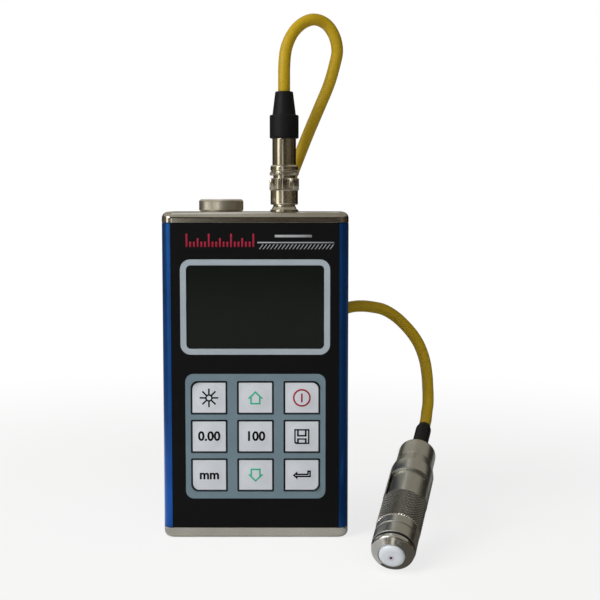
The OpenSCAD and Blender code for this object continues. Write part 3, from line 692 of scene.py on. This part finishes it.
@dataclass
class Studio:
    """Pale floor, soft light and the camera of the photograph."""

    lens_mm: float = 70.56
    sensor_mm: float = 36.0
    near_m: float = 0.01
    camera_mm: Point3 = (18.2, -491.0, 137.6)
    pitch_deg: float = 85.3
    soft_light: float = 0.1
    floor_m: float = 12.0
    bright_from_m: Point2 = (0.12, 0.5)
    least_bright: float = 0.78
    wall_m: float = 1.6
    wall_high_m: float = 0.75
    # Eight walls from the front round by the right: dark behind, paler at the left.
    walls: tuple[str, ...] = ("#463E33", "#6A604F", "#463D32", "#1E1913", "#46423B", "#4A443A",
                              "#6E6657", "#7A7264")
    # A window and its sill, the ceiling, the table shaded on both sides and lit at the foot of
    # the case, and a light tube.
    cards: tuple[Card, ...] = (
        Card.standing("card_window", 303.0, 1.45, 0.375, (0.54, 0.75), "#FFFAEC", 1.8),
        Card.standing("card_sill", 346.0, 1.45, 0.13, (0.3, 0.18), "#FFFAEC", 1.3),
        Card("card_ceiling_left", (-0.8, 0.0, 0.75), (1.6, 3.2), "#C6C2B8"),
        Card("card_ceiling_right", (0.8, 0.0, 0.75), (1.6, 3.2), "#A9A498"),
        Card("card_table", (0.448, -0.18, 0.0005), (0.8, 0.56), "#605C55"),
        Card("card_foot", (-0.12, 0.05, 0.0005), (0.14, 0.3), "#DCE8FF", 1.6),
        Card("card_left", (-0.75, 0.1, 0.0005), (1.0, 1.6), "#8C8880"),
        Card("card_strip", (0.0, 0.36, 0.74), (0.1, 1.2), "#FFFFFF", lean=(0.0, 0.0, -0.25)),
    )
    lamps: tuple[Lamp, ...] = (
        Lamp("key_lamp", (-1.0, -0.85, 0.8), 0.8, 15.5, mirrored=True),
        Lamp("fill_lamp", (0.5, -1.2, 0.8), 0.8, 3.8),
        Lamp("top_lamp", (-0.3, -0.15, 1.3), 0.5, 3.0),
    )

    def build(self) -> None:
        """Set the look of the picture, then make world, floor, cards, lamps and camera."""
        scene = bpy.context.scene
        scene.view_settings.view_transform = "Standard"
        self.make_world(scene)
        self.make_floor()
        for item in (*self.wall_cards(), *self.cards, *self.lamps):
            item.make()
        deselect()
        bpy.ops.object.camera_add(location=[c * MM for c in self.camera_mm],
                                  rotation=(math.radians(self.pitch_deg), 0, 0))
        camera = bpy.context.object
        camera.data.lens = self.lens_mm
        camera.data.sensor_width = self.sensor_mm
        camera.data.clip_start = self.near_m
        scene.camera = camera

    def make_world(self, scene: bpy.types.Scene) -> None:
        """Make a backdrop that is white to the camera, mirrors and glass, and dim light elsewhere.

        Args:
            scene: Scene that gets it.
        """
        scene.world = bpy.data.worlds.new("studio_backdrop")
        scene.world.use_nodes = True
        tree = scene.world.node_tree
        tree.nodes.clear()
        seen = add_node(tree, "LightPath", out="Is Camera Ray")
        for ray in ("Is Glossy Ray", "Is Transmission Ray"):
            also = add_node(tree, "LightPath", out=ray)
            seen = add_node(tree, "Math", {0: seen, 1: also}, operation="MAXIMUM")
        soft, white = (add_node(tree, "Background", {
            "Color": linear("#FFFFFF"), "Strength": strength,
        }) for strength in (self.soft_light, 1.0))
        mixed = add_node(tree, "MixShader", {0: seen, 1: soft, 2: white})
        add_node(tree, "OutputWorld", {"Surface": mixed})

    def make_floor(self) -> None:
        """Lay a pale table that looks white to the camera and still takes the shadow."""
        deselect()
        bpy.ops.mesh.primitive_plane_add(size=self.floor_m)
        floor = bpy.context.object
        floor.name = "floor"
        made = blank_material("pale_table")
        tree = made.node_tree
        where = add_node(tree, "TexCoord", out="Object")
        away = add_node(tree, "VectorMath", {0: where}, "Value", operation="LENGTH")
        near, far = self.bright_from_m
        lit = add_node(tree, "MapRange", {
            "Value": away, "From Min": near, "From Max": far, "To Min": self.least_bright,
            "To Max": 1.0,
        }, interpolation_type="SMOOTHSTEP")
        seen = add_node(tree, "LightPath", out="Is Camera Ray")
        share = add_node(tree, "Math", {0: seen, 1: lit}, operation="MULTIPLY")
        matt = add_node(tree, "BsdfDiffuse", {"Color": linear("#F4F3F0")})
        glow = add_node(tree, "Emission", {"Color": linear("#FFFFFF"), "Strength": 1.0})
        mixed = add_node(tree, "MixShader", {0: share, 1: matt, 2: glow})
        add_node(tree, "OutputMaterial", {"Surface": mixed})
        floor.data.materials.append(made)

    def wall_cards(self) -> list[Card]:
        """Plan the ring of walls.

        Returns:
            One card for each wall.
        """
        step, high = 360 // len(self.walls), self.wall_high_m
        size = (2 * self.wall_m * math.tan(math.radians(step / 2)), high)
        return [Card.standing(f"card_{step * i}", step * i, self.wall_m, high / 2, size, colour)
                for i, colour in enumerate(self.walls)]


@dataclass
class Cable:
    """The short stiff cable: a loop over the plug, a run behind the case, an arc to the probe."""

    diameter_mm: float = 5.0
    length_m: float = 0.282
    lead_mm: float = 5.0
    exit_mm: float = 49.7
    probe_end_mm: float = 88.0
    route_mm: tuple[Point3, ...] = (
        (11.7, 4.2, 195.5), (12.5, 5.5, 202), (15, 7, 208), (19, 9, 212.5), (24, 10.5, 214.5),
        (29, 12.5, 213), (32.5, 13.5, 208.5), (34, 15, 202.5), (33, 16, 196.5), (30.5, 17, 188),
        (26.5, 18, 178.5), (22, 18.5, 168), (17, 19.2, 155.5), (11, 19.5, 140), (5.5, 19.5, 125),
        (3, 19.5, 112.5), (6, 19.5, 100.5), (13.5, 19.5, 92.5), (22, 19.5, 89.5), (31, 19.5, 90),
        (40, 19.5, 92.5), (45, 19.5, 93), (50, 19.8, 92.5), (54.6, 20.4, 91.4),
        (59.3, 21.4, 88.7), (63.5, 22.6, 85), (67.8, 24, 80.1), (71.1, 25.4, 74.7),
        (73.5, 26.7, 68.1), (74.7, 27.5, 61.3), (75.1, 27.6, 55.5), (75.2, 27.1, 52),
        (75, 25.7, 48.6), (74.3, 23.3, 45.7),
    )

    def build(self) -> None:
        ends = [
            [seat.matrix() @ Vector((0, 0, z)) for z in (at, at + self.lead_mm)]
            for seat, at in ((PLUG, self.exit_mm), (PROBE, self.probe_end_mm))
        ]
        points = ends[0] + [Vector(p) * MM for p in self.route_mm] + ends[1][::-1]
        deselect()
        bpy.ops.curve.primitive_bezier_curve_add()
        cable = bpy.context.object
        cable.name = "cable"
        spline = cable.data.splines[0]
        spline.bezier_points.add(len(points) - 2)
        last = len(points) - 1
        for i, (knot, place) in enumerate(zip(spline.bezier_points, points)):
            reach = (points[min(i + 1, last)] - points[max(i - 1, 0)]) / 6
            knot.handle_left_type = knot.handle_right_type = "FREE"
            knot.co, knot.handle_left, knot.handle_right = place, place - reach, place + reach
        cable.data.bevel_depth = self.diameter_mm / 2 * MM
        cable.data.bevel_resolution = 6
        cable.data.resolution_u = 8
        cable.data.use_fill_caps = True
        hand_over(cable, JACKET, HOUSING, "cable_yellow", "probe_cable")


@dataclass
class FrontPanel:
    """What is printed on the front: the header and the legends of the nine keys."""

    ink_mm: float = 0.03
    lift_mm: float = 1.0
    stroke_mm: float = 0.64
    text_mm: float = 5.3
    text_bold_mm: float = 0.17
    key_gap: float = 0.4
    line_mm: float = 0.36
    line_lap: float = 0.03
    corner_r: float = 0.6
    outer_r: float = 3.0
    header_z: float = 122.7
    pitch: float = 1.5
    ticks: int = 19
    tick_w: float = 0.75
    tick_tall: Point3 = (5.4, 3.6, 2.2)
    scale_at: Point2 = (-27.6, -2.7)
    coat_bars: tuple[tuple[float, ...], ...] = ((15.5, 1.7, 15, 1.0), (16.5, -0.9, 31, 0.5))
    hatches: int = 20
    hatch_w: float = 0.4
    hatch_at: Point3 = (1.6, -3.6, -1.6)
    power_r: float = 3.65
    power_stroke: float = 0.68

    def build(self) -> None:
        """Draw the header on the film and a legend on each key."""
        self.draw_header()
        self.draw_outlines()
        symbols = {
            "backlight": (DARK_INK, self.sun()), "up": (GREEN_INK, self.arrow(1)),
            "power": (RED_INK, self.power()), "zero": (DARK_INK, "0.00"),
            "calibrate": (DARK_INK, "100"), "save": (DARK_INK, self.disk()),
            "unit": (DARK_INK, "mm"), "down": (GREEN_INK, self.arrow(-1)),
            "enter": (DARK_INK, self.enter()),
        }
        for key, (ink, drawing) in symbols.items():
            low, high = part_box("key_" + key)
            middle = (low + high) / 2 / MM
            draw = self.words if isinstance(drawing, str) else self.shape
            legend = draw("legend_" + key, drawing)
            self.print_on(legend, (middle.x, middle.z), "key_" + key)
            hand_over(legend, ink, "key_" + key, "key_grey")

    def draw_header(self) -> None:
        """Print a red scale at the left and a section through a coated sheet at the right."""
        scale, (left, foot) = [], self.scale_at
        for i in range(self.ticks):
            tall = self.tick_tall[0 if i % 6 == 0 else 1 if i % 3 == 0 else 2]
            scale.append(self.bar(left + self.pitch * i, foot + tall / 2, self.tick_w, tall))
        coat, (left, foot, top) = [self.bar(*bar) for bar in self.coat_bars], self.hatch_at
        for i in range(self.hatches):
            x, lean = left + self.pitch * i, self.pitch
            coat.append([(x, foot), (x + self.hatch_w, foot), (x + lean + self.hatch_w, top),
                         (x + lean, top)])
        for name, drawing, ink in (("header_scale", scale, RED_INK),
                                   ("header_section", coat, PALE_INK)):
            piece = self.shape(name, drawing)
            self.print_on(piece, (0, self.header_z), "front_film")
            hand_over(piece, ink, HOUSING, "print_pale")

    def draw_outlines(self) -> None:
        """Print a dark line round each key's opening; a corner key is rounder outwards."""
        loops = []
        for i, key in enumerate(KEYS):
            low, high = (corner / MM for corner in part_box("key_" + key))
            out = (i % 3 - 1, 1 - i // 3)
            for grow in (self.key_gap + self.line_lap, self.key_gap + self.line_mm):
                loops.append(self.soft_box((low.x - grow, low.z - grow),
                                           (high.x + grow, high.z + grow), out))
        lines = self.shape("key_outlines", loops)
        self.print_on(lines, (0, 0), "keypad_sheet")
        hand_over(lines, DARK_INK, HOUSING, "print_pale")

    def soft_box(self, low: Point2, high: Point2, out: tuple[int, int]) -> Outline:
        """Give the outline of a box with rounded corners.

        Args:
            low: Left and lower side.
            high: Right and upper side.
            out: Sides, -1 or 1, of the corner that is rounder than the others.

        Returns:
            The outline, anticlockwise.
        """
        made: Outline = []
        for quarter, (sx, sz) in enumerate(((1, 1), (-1, 1), (-1, -1), (1, -1))):
            r = self.outer_r if (sx, sz) == out else self.corner_r
            x, z = (high if s > 0 else low for s in (sx, sz))
            for a in (math.pi / 2 * (quarter + step / 6) for step in range(7)):
                made.append((x[0] - sx * r + r * math.cos(a), z[1] - sz * r + r * math.sin(a)))
        return made

    def bar(self, x: float, y: float, width: float, height: float) -> Outline:
        """Give the outline of an upright bar about a point."""
        w, h = width / 2, height / 2
        return [(x - w, y - h), (x + w, y - h), (x + w, y + h), (x - w, y + h)]

    def circle(self, radius: float, sides: int = 48) -> Outline:
        """Give the outline of a circle about the origin."""
        turns = (FULL_TURN * i / sides for i in range(sides))
        return [(radius * math.cos(a), radius * math.sin(a)) for a in turns]

    def hollow(self, outline: Sequence[Point2]) -> list[Outline]:
        """Turn a filled outline into a line of the stroke's width inside it.

        Args:
            outline: Corners in anticlockwise order.

        Returns:
            The outline and the smaller one that bounds the stroke.
        """
        inner = []
        for i, corner in enumerate(outline):
            here = Vector(corner)
            way_in = (here - Vector(outline[i - 1])).normalized()
            way_out = (Vector(outline[(i + 1) % len(outline)]) - here).normalized()
            side = Vector((-way_in.y - way_out.y, way_in.x + way_out.x)).normalized()
            lengthened = self.stroke_mm / max(0.3, side.dot((-way_in.y, way_in.x)))
            inner.append(tuple(here + side * lengthened))
        return [list(outline), inner]

    def sun(self) -> list[Outline]:
        """Draw a ring with eight rays that grow out of it.

        Returns:
            The outer outline and the hole.
        """
        half, outline = self.stroke_mm / 2, []
        ray = [(1.5, -half), (3.8, -half), (3.8, half), (1.5, half), (1.42, 0.62)]
        for i in range(8):
            turn_by = Matrix.Rotation(math.pi / 4 * i, 2)
            outline += [tuple(turn_by @ Vector(p)) for p in ray]
        return [outline, self.circle(1.55 - self.stroke_mm)]

    def arrow(self, way: int) -> list[Outline]:
        """Draw a hollow arrow that points up (1) or down (-1)."""
        outline = [(-2.1, -2.7), (2.1, -2.7), (2.1, -0.3), (3.2, -0.3), (0, 2.8), (-3.2, -0.3),
                   (-2.1, -0.3)]
        return self.hollow([(x * way, y * way) for x, y in outline])

    def power(self) -> list[Outline]:
        """Draw a ring with an upright bar in it."""
        ring = [self.circle(self.power_r), self.circle(self.power_r - self.power_stroke)]
        return ring + [self.bar(0, 0, self.power_stroke, 3.6)]

    def disk(self) -> list[Outline]:
        """Draw a floppy disk: a dark square with label, shutter and two side strips left open.

        Returns:
            The outline and its holes.
        """
        outline = [(-2.5, -3.1), (3.1, -3.1), (3.1, 3.1), (-3.1, 3.1), (-3.1, -2.5)]
        label = self.bar(0, 1.6, 2.5, 1.8)
        shutter = self.bar(0, -1.86, 2.5, 1.2)
        strips = [(-2.5, -2.3), (-1.95, -2.3), (-1.95, -0.7), (1.95, -0.7), (1.95, -2.5),
                  (2.5, -2.5), (2.5, 2.5), (1.95, 2.5), (1.95, 0.05), (-1.95, 0.05), (-1.95, 2.5),
                  (-2.5, 2.5)]
        return [outline, label, shutter, strips]

    def enter(self) -> list[Outline]:
        """Draw a hollow arrow that comes down and points left."""
        return self.hollow([(-3.7, -0.1), (-1.8, -1.8), (-1.8, -0.85), (3.7, -0.85), (3.7, 1.9),
                            (2.2, 1.9), (2.2, 0.65), (-1.8, 0.65), (-1.8, 1.6)])

    def shape(self, name: str, outlines: Sequence[Outline]) -> Piece:
        """Fill outlines as flat faces, where an outline inside another one is a hole.

        Args:
            name: Name of the piece.
            outlines: Closed outlines in millimetres.

        Returns:
            The flat mesh at the origin.
        """
        deselect()
        bpy.ops.curve.primitive_bezier_circle_add()
        drawn = bpy.context.object.data
        drawn.dimensions, drawn.fill_mode = "2D", "BOTH"
        drawn.splines.clear()
        for outline in outlines:
            spline = drawn.splines.new("POLY")
            spline.points.add(len(outline) - 1)
            for knot, (x, y) in zip(spline.points, outline):
                knot.co = (x, y, 0, 1)
            spline.use_cyclic_u = True
        bpy.ops.object.convert(target="MESH")
        return named(name)

    def words(self, name: str, text: str) -> Piece:
        """Set plain figures or a unit in the middle of a key.

        Args:
            name: Name of the piece.
            text: What it says.

        Returns:
            The flat mesh at the origin.
        """
        deselect()
        bpy.ops.object.text_add()
        drawn = bpy.context.object.data
        drawn.body, drawn.align_x, drawn.align_y = text, "CENTER", "CENTER"
        drawn.size, drawn.offset, drawn.resolution_u = self.text_mm, self.text_bold_mm, 4
        bpy.ops.object.convert(target="MESH")
        return named(name)

    def print_on(self, piece: Piece, place: Point2, node: str) -> None:
        """Stand a flat drawing on the front, lay it on a node and give the ink its thickness.

        Args:
            piece: Flat mesh at the origin.
            place: Its middle, right and up from the origin in millimetres.
            node: CAD node that it lies on.
        """
        set_mode("EDIT")
        bpy.ops.mesh.select_all(action="SELECT")
        bpy.ops.mesh.remove_doubles(threshold=2 * MERGE)
        bpy.ops.transform.translate(value=(*place, self.lift_mm))
        bpy.ops.mesh.subdivide(number_cuts=2)
        set_mode("OBJECT")
        set_down(piece, FRONT)
        wrap = piece.modifiers.new("lay", "SHRINKWRAP")
        wrap.target = frame["nodes"][node]
        wrap.wrap_method = "PROJECT"
        wrap.use_project_y = wrap.use_negative_direction = wrap.use_positive_direction = True
        thick = piece.modifiers.new("ink", "SOLIDIFY")
        thick.thickness = self.ink_mm * MM
        thick.offset = 1.0
        for modifier in ("lay", "ink"):
            bpy.ops.object.modifier_apply(modifier=modifier)


@dataclass
class BatteryCap:
    """The knurled screw cap of the battery tube, by heights above the top cap."""

    radius: float = 9.3
    height: float = 5.1
    foot: float = 0.7
    lift: float = 0.02
    chamfer: float = 0.8
    knurl: float = 0.15
    teeth: int = 44
    rows: int = 6
    thread_radius: float = 7.8
    thread_len: float = 4.6
    thread_depth: float = 0.55
    pitch: float = 1.4
    grooves: int = 2
    core: float = 0.05

    def build(self) -> None:
        """Turn the cap with its thread, then knurl its edge."""
        r, top, thread, end = self.radius, self.height, self.thread_radius, -self.thread_len
        heights = evenly(self.foot, top - self.chamfer, self.rows)
        # The short steps beside the edges hold the shading of the flats.
        section = [(self.core, top), (r - 2.2, top), (r - self.chamfer - 0.1, top),
                   (r - self.chamfer, top - 0.04), (r - 0.05, heights[-1] + 0.06)]
        section += [(r, z) for z in reversed(heights)]
        section += [(r - self.foot, self.lift), (thread, self.lift)]
        root, z = thread - self.thread_depth, -0.2
        for _ in range(self.grooves):
            section += [(thread, z), (root, z - self.pitch * 0.4), (root, z - self.pitch * 0.6)]
            z -= self.pitch
        section += [(thread, z), (thread, end + 0.5), (thread - 0.5, end), (self.core, end),
                    (self.core, top)]
        cap = turn("battery_screw_cap", section, 2 * self.teeth)
        cut_diamonds(cap, self.teeth, r, self.knurl, heights)
        set_down(cap, BATTERY, KNURL_DEG)
        hand_over(cap, CAP_KNURL, "battery_cap", "nickel", "battery_cap")


@dataclass
class Plug:
    """The socket on the top cap and the push-pull plug in it, by heights above the cap."""

    flange_r: float = 5.9
    flange_t: float = 0.8
    cone_top: float = 2.3
    neck_r: float = 4.6
    neck_top: float = 4.4
    bore_r: float = 3.4
    socket_low: float = -11.6
    sleeve_z: float = 2.8
    sleeve_r: float = 5.75
    step_z: float = 8.7
    knurl_r: float = 6.2
    knurl_top: float = 13.9
    knurl: float = 0.28
    ribs: int = 52
    slide_gap: float = 0.3
    nut_z: float = 15.0
    ring_len: float = 1.5
    nut_top: float = 19.3
    tube_r: float = 4.95
    boot_z: float = 30.3
    stub_r: float = 4.25
    stub_len: float = 5.6
    boot_r: float = 6.05
    boot_len: float = 9.7
    boot_top: float = 49.7
    taper_r: Point2 = (4.9, 3.7)
    cable_r: float = 2.6
    fit: float = 0.05

    def build(self) -> None:
        """Turn each piece of the socket and the plug."""
        neck, bore, gap = self.neck_r, self.bore_r, self.slide_gap
        make_turned("socket", PLUG, PLUG_METAL, "nickel", "probe_socket", [
            (bore, self.socket_low, 0), (neck, self.socket_low, 0.2), (neck, 0, 0),
            (self.flange_r, 0, 0.1), (self.flange_r, self.flange_t, 0.3),
            (self.flange_r - 0.5, self.flange_t, 0.1), (neck, self.cone_top, 0.3),
            (neck, self.neck_top, 0.2), (bore, self.neck_top, 0.1),
        ])
        crest, low, high = self.knurl_r, self.step_z + 0.5, self.knurl_top - 0.45
        self.make_ribbed("coupling_sleeve", "coupling_sleeve", "plug_sleeve", crest, (low, high), [
            (neck + gap, self.sleeve_z, 0.1), (self.sleeve_r, self.sleeve_z, 0.45),
            (self.sleeve_r, self.step_z, 0.05), (crest - 0.35, self.step_z, 0), (crest, low, 0),
            (crest, high, 0), (crest - 0.35, self.knurl_top, 0), (neck + gap, self.knurl_top, 0.1),
        ])
        crest, low, ring_top = self.knurl_r - 0.1, self.nut_z + 0.35, self.nut_z + self.ring_len
        inner, outer, high = self.tube_r + self.fit, self.sleeve_r, ring_top - 0.3
        self.make_ribbed("back_nut", HOUSING, "plug_back_nut", crest, (low, high), [
            (inner, self.nut_z, 0.1), (crest - 0.3, self.nut_z, 0), (crest, low, 0),
            (crest, high, 0), (crest - 0.35, ring_top, 0), (outer - 0.25, ring_top + 0.05, 0),
            (outer - 0.25, ring_top + 0.4, 0), (outer, ring_top + 0.6, 0.1),
            (outer, self.nut_top - 0.6, 0.15), (outer - 0.6, self.nut_top, 0.1),
            (inner, self.nut_top, 0.1),
        ])
        stub_top = self.boot_z + self.stub_len
        make_turned("plug_tube", PLUG, PLUG_METAL, "nickel", "plug_shell", [
            (bore, self.neck_top + gap, 0), (neck, self.neck_top + gap, 0.2),
            (neck, self.nut_z, 0), (self.tube_r, self.nut_z, 0.1), (self.tube_r, self.boot_z, 0.15),
            (self.stub_r, self.boot_z, 0), (self.stub_r, stub_top, 0.2), (bore, stub_top, 0.1),
        ])
        step, inner = self.boot_z + self.boot_len, self.stub_r + self.fit
        wide, slim = self.taper_r
        make_turned("plug_strain_relief", PLUG, RUBBER, "rubber_black", "plug_boot", [
            (inner, self.boot_z, 0.1), (self.boot_r, self.boot_z, 0.7), (self.boot_r, step, 0.7),
            (wide, step, 0.25), (slim, self.boot_top, 0.5), (self.cable_r, self.boot_top, 0.2),
            (self.cable_r, stub_top + 0.2, 0), (inner, stub_top + 0.2, 0),
        ])

    def make_ribbed(self, name: str, body: str, node: str, crest: float, ends: Point2,
                    corners: Sequence[Corner]) -> None:
        """Turn one metal piece and press straight grooves into a band of it.

        Args:
            name: Name of the piece.
            body: CAD body that it moves with.
            node: CAD node that it replaces.
            crest: Radius of the band.
            ends: Lowest and highest height of the band.
            corners: Radius, height and rounding of its half section.
        """
        facets = 4  # two on the crest of a rib and two in the groove beside it
        piece = turn(name, softened(corners), facets * self.ribs)
        steps = facets * self.ribs / FULL_TURN
        press_band(piece, crest, self.knurl, ends, lambda a, z: round(a * steps) % facets >= 2)
        set_down(piece, PLUG)
        hand_over(piece, PLUG_KNURL, body, "nickel", node)


@dataclass
class Probe:
    """The hand probe, by distances along its axis from the face of the white tip."""

    tip_r: float = 5.0
    tip_len: float = 4.2
    pole_r: float = 0.55
    nose_len: float = 4.2
    nose_r: float = 8.3
    nose_edge: Point2 = (8.05, 3.05)
    mouth_z: float = 1.2
    mouth_gap: float = 0.1
    seal_z: float = 4.3
    seal_t: float = 1.1
    shank_r: float = 6.4
    shank_len: float = 9.0
    ring_z: float = 5.4
    ring_r: float = 8.55
    groove_z: float = 10.8
    groove_t: float = 0.7
    groove_deep: float = 0.4
    grip_z: float = 15.4
    grip_r: float = 8.8
    grip_edge: float = 0.7
    teeth: int = 50
    rows: int = 28
    knurl: float = 0.35
    guide_z: float = 31.8
    guide_r: float = 8.85
    guide_sides: int = 128
    guide_edge: float = 0.2
    core_r: float = 7.7
    window: Point2 = (13.7, 14.6)
    shoulder_z: float = 52.1
    rear_z: float = 57.8
    rear_r: float = 7.75
    rear_bore: float = 2.9
    end_z: float = 68.0
    boot_r: float = 3.3
    boot_cone: float = 2.5
    boot_end: float = 88.0
    boot_root: float = 3.0
    cable_r: float = 2.6
    core: float = 0.1
    fit: float = 0.05

    def build(self) -> None:
        """Turn the probe's pieces from the tip to the boot."""
        tip, mouth = self.tip_r, self.tip_r + self.mouth_gap
        make_turned("contact_tip", PROBE, ACETAL, "tip_white", "probe_tip", [
            (self.pole_r, 0, 0.05), (tip - 1.2, 0, 1.2), (tip, 1.0, 0.9), (tip, self.tip_len, 0.1),
            (self.pole_r, self.tip_len, 0),
        ], "sensor_tip")
        shank_end = self.seal_z + self.shank_len
        make_turned("nose", PROBE, CHROME, "nose_chrome", "nose_cone", [
            (mouth, self.mouth_z + 0.1, 0), (tip + 0.3, self.mouth_z + 0.02, 0.05),
            (*self.nose_edge, 0.7), (self.nose_r, self.nose_len, 0.3),
            (self.nose_r, self.seal_z, 0.05), (self.shank_r, self.seal_z, 0),
            (self.shank_r, shank_end, 0.1), (mouth, shank_end, 0.1),
        ])
        self.make_seal()
        bore, ring, groove = self.shank_r + self.fit, self.ring_r, self.ring_r - self.groove_deep
        make_turned("front_collar", PROBE, PROBE_STEEL, "probe_steel", "front_ring", [
            (bore, self.ring_z, 0.1), (ring, self.ring_z, 0.35), (ring, self.groove_z, 0.12),
            (groove, self.groove_z + 0.2, 0.05), (groove, self.groove_z + 0.5, 0.05),
            (ring, self.groove_z + self.groove_t, 0.12), (ring, self.grip_z, 0.35),
            (bore, self.grip_z, 0.1),
        ])
        self.make_grip(bore)
        self.make_guide()
        make_turned("rear_cap", PROBE, PROBE_STEEL, "probe_steel", "probe_rear_cap", [
            (self.rear_bore, self.rear_z, 0), (self.rear_r, self.rear_z, 0.2),
            (self.rear_r, self.end_z, 1.6), (self.rear_bore, self.end_z, 0.1),
        ])
        plug_r, root = self.rear_bore - self.fit, self.end_z - self.boot_root
        make_turned("probe_strain_relief", PROBE, RUBBER, "rubber_black", "probe_boot", [
            (self.core, root, 0), (plug_r, root, 0.1), (plug_r, self.end_z, 0),
            (self.boot_r, self.end_z, 0.15), (self.boot_r, self.boot_end - self.boot_cone, 0.6),
            (self.cable_r, self.boot_end, 0.2), (self.core, self.boot_end, 0),
        ])

    def make_seal(self) -> None:
        """Turn the round black ring behind the nose."""
        radius, middle, sides = self.seal_t / 2, self.seal_z + self.seal_t / 2, 16
        axis_r = self.nose_r - radius + 0.1
        bead = [(axis_r + radius * math.cos(a), middle + radius * math.sin(a))
                for a in (FULL_TURN * i / sides for i in range(sides))]
        seal = turn("nose_seal_ring", bead + bead[:1])
        set_down(seal, PROBE)
        hand_over(seal, RUBBER, HOUSING, "rubber_black", "nose_seal")

    def make_grip(self, bore: float) -> None:
        """Turn the grip and roll its diamond knurl.

        Args:
            bore: Radius of its bore.
        """
        low, high, edge, r = self.grip_z, self.guide_z, self.grip_edge, self.grip_r
        heights = evenly(low + edge, high - edge, self.rows)
        section = [(bore, low), (r - edge, low), *((r, z) for z in heights), (r - edge, high),
                   (bore, high), (bore, low)]
        grip = turn("knurled_grip", section, 2 * self.teeth)
        cut_diamonds(grip, self.teeth, r, self.knurl, heights)
        set_down(grip, PROBE, KNURL_DEG)
        hand_over(grip, PROBE_KNURL, HOUSING, "grip_steel", "knurled_sleeve")

    def make_guide(self) -> None:
        """Turn the guide sleeve, cut its two windows and break its edges."""
        bore, r = self.core_r + self.fit, self.guide_r
        guide = turn("guide_sleeve_windowed", softened([
            (bore, self.guide_z, 0), (r - 0.6, self.guide_z, 0), (r, self.guide_z + 1.2, 0.2),
            (r, self.shoulder_z, 0.3), (self.rear_r, self.rear_z, 0.15),
            (bore - 1, self.rear_z, 0), (bore - 1, self.shoulder_z, 0), (bore, self.shoulder_z, 0),
        ]), self.guide_sides)
        deselect()
        (tall, wide), past = self.window, 0.5
        bpy.ops.mesh.primitive_cube_add(size=1, location=(0, 0, self.guide_z + (tall - past) / 2))
        cutter = bpy.context.object
        cutter.scale = (4 * r, wide, tall + past)
        deselect()
        guide.select_set(True)
        bpy.context.view_layer.objects.active = guide
        cut = guide.modifiers.new("windows", "BOOLEAN")
        cut.object, cut.operation, cut.solver = cutter, "DIFFERENCE", "EXACT"
        edge = guide.modifiers.new("edges", "BEVEL")
        edge.width, edge.segments = self.guide_edge, 2
        edge.limit_method, edge.angle_limit = "ANGLE", math.radians(50)
        bpy.context.view_layer.update()
        for modifier in ("windows", "edges"):
            bpy.ops.object.modifier_apply(modifier=modifier)
        bpy.data.objects.remove(cutter)
        set_down(guide, PROBE)
        hand_over(guide, PROBE_STEEL, HOUSING, "probe_steel", "guide_sleeve")


def dress_nodes() -> None:
    """Give each CAD node that stays in view its finish."""
    for name, finish in NODE_FINISH.items():
        node = frame["nodes"][name]
        node.data.materials.clear()
        node.data.materials.append(finish.material())
        LOG.info("%s: %s", name, finish.name)


def main() -> None:
    """Build the studio, then dress the gauge sub-assembly by sub-assembly."""
    logging.basicConfig(level=logging.INFO, format="%(name)s %(message)s")
    Studio().build()
    Cable().build()
    dress_nodes()
    for part in (FrontPanel(), BatteryCap(), Plug(), Probe()):
        part.build()
        LOG.info("%s finished", type(part).__name__)


if __name__ == "__main__":
    main()
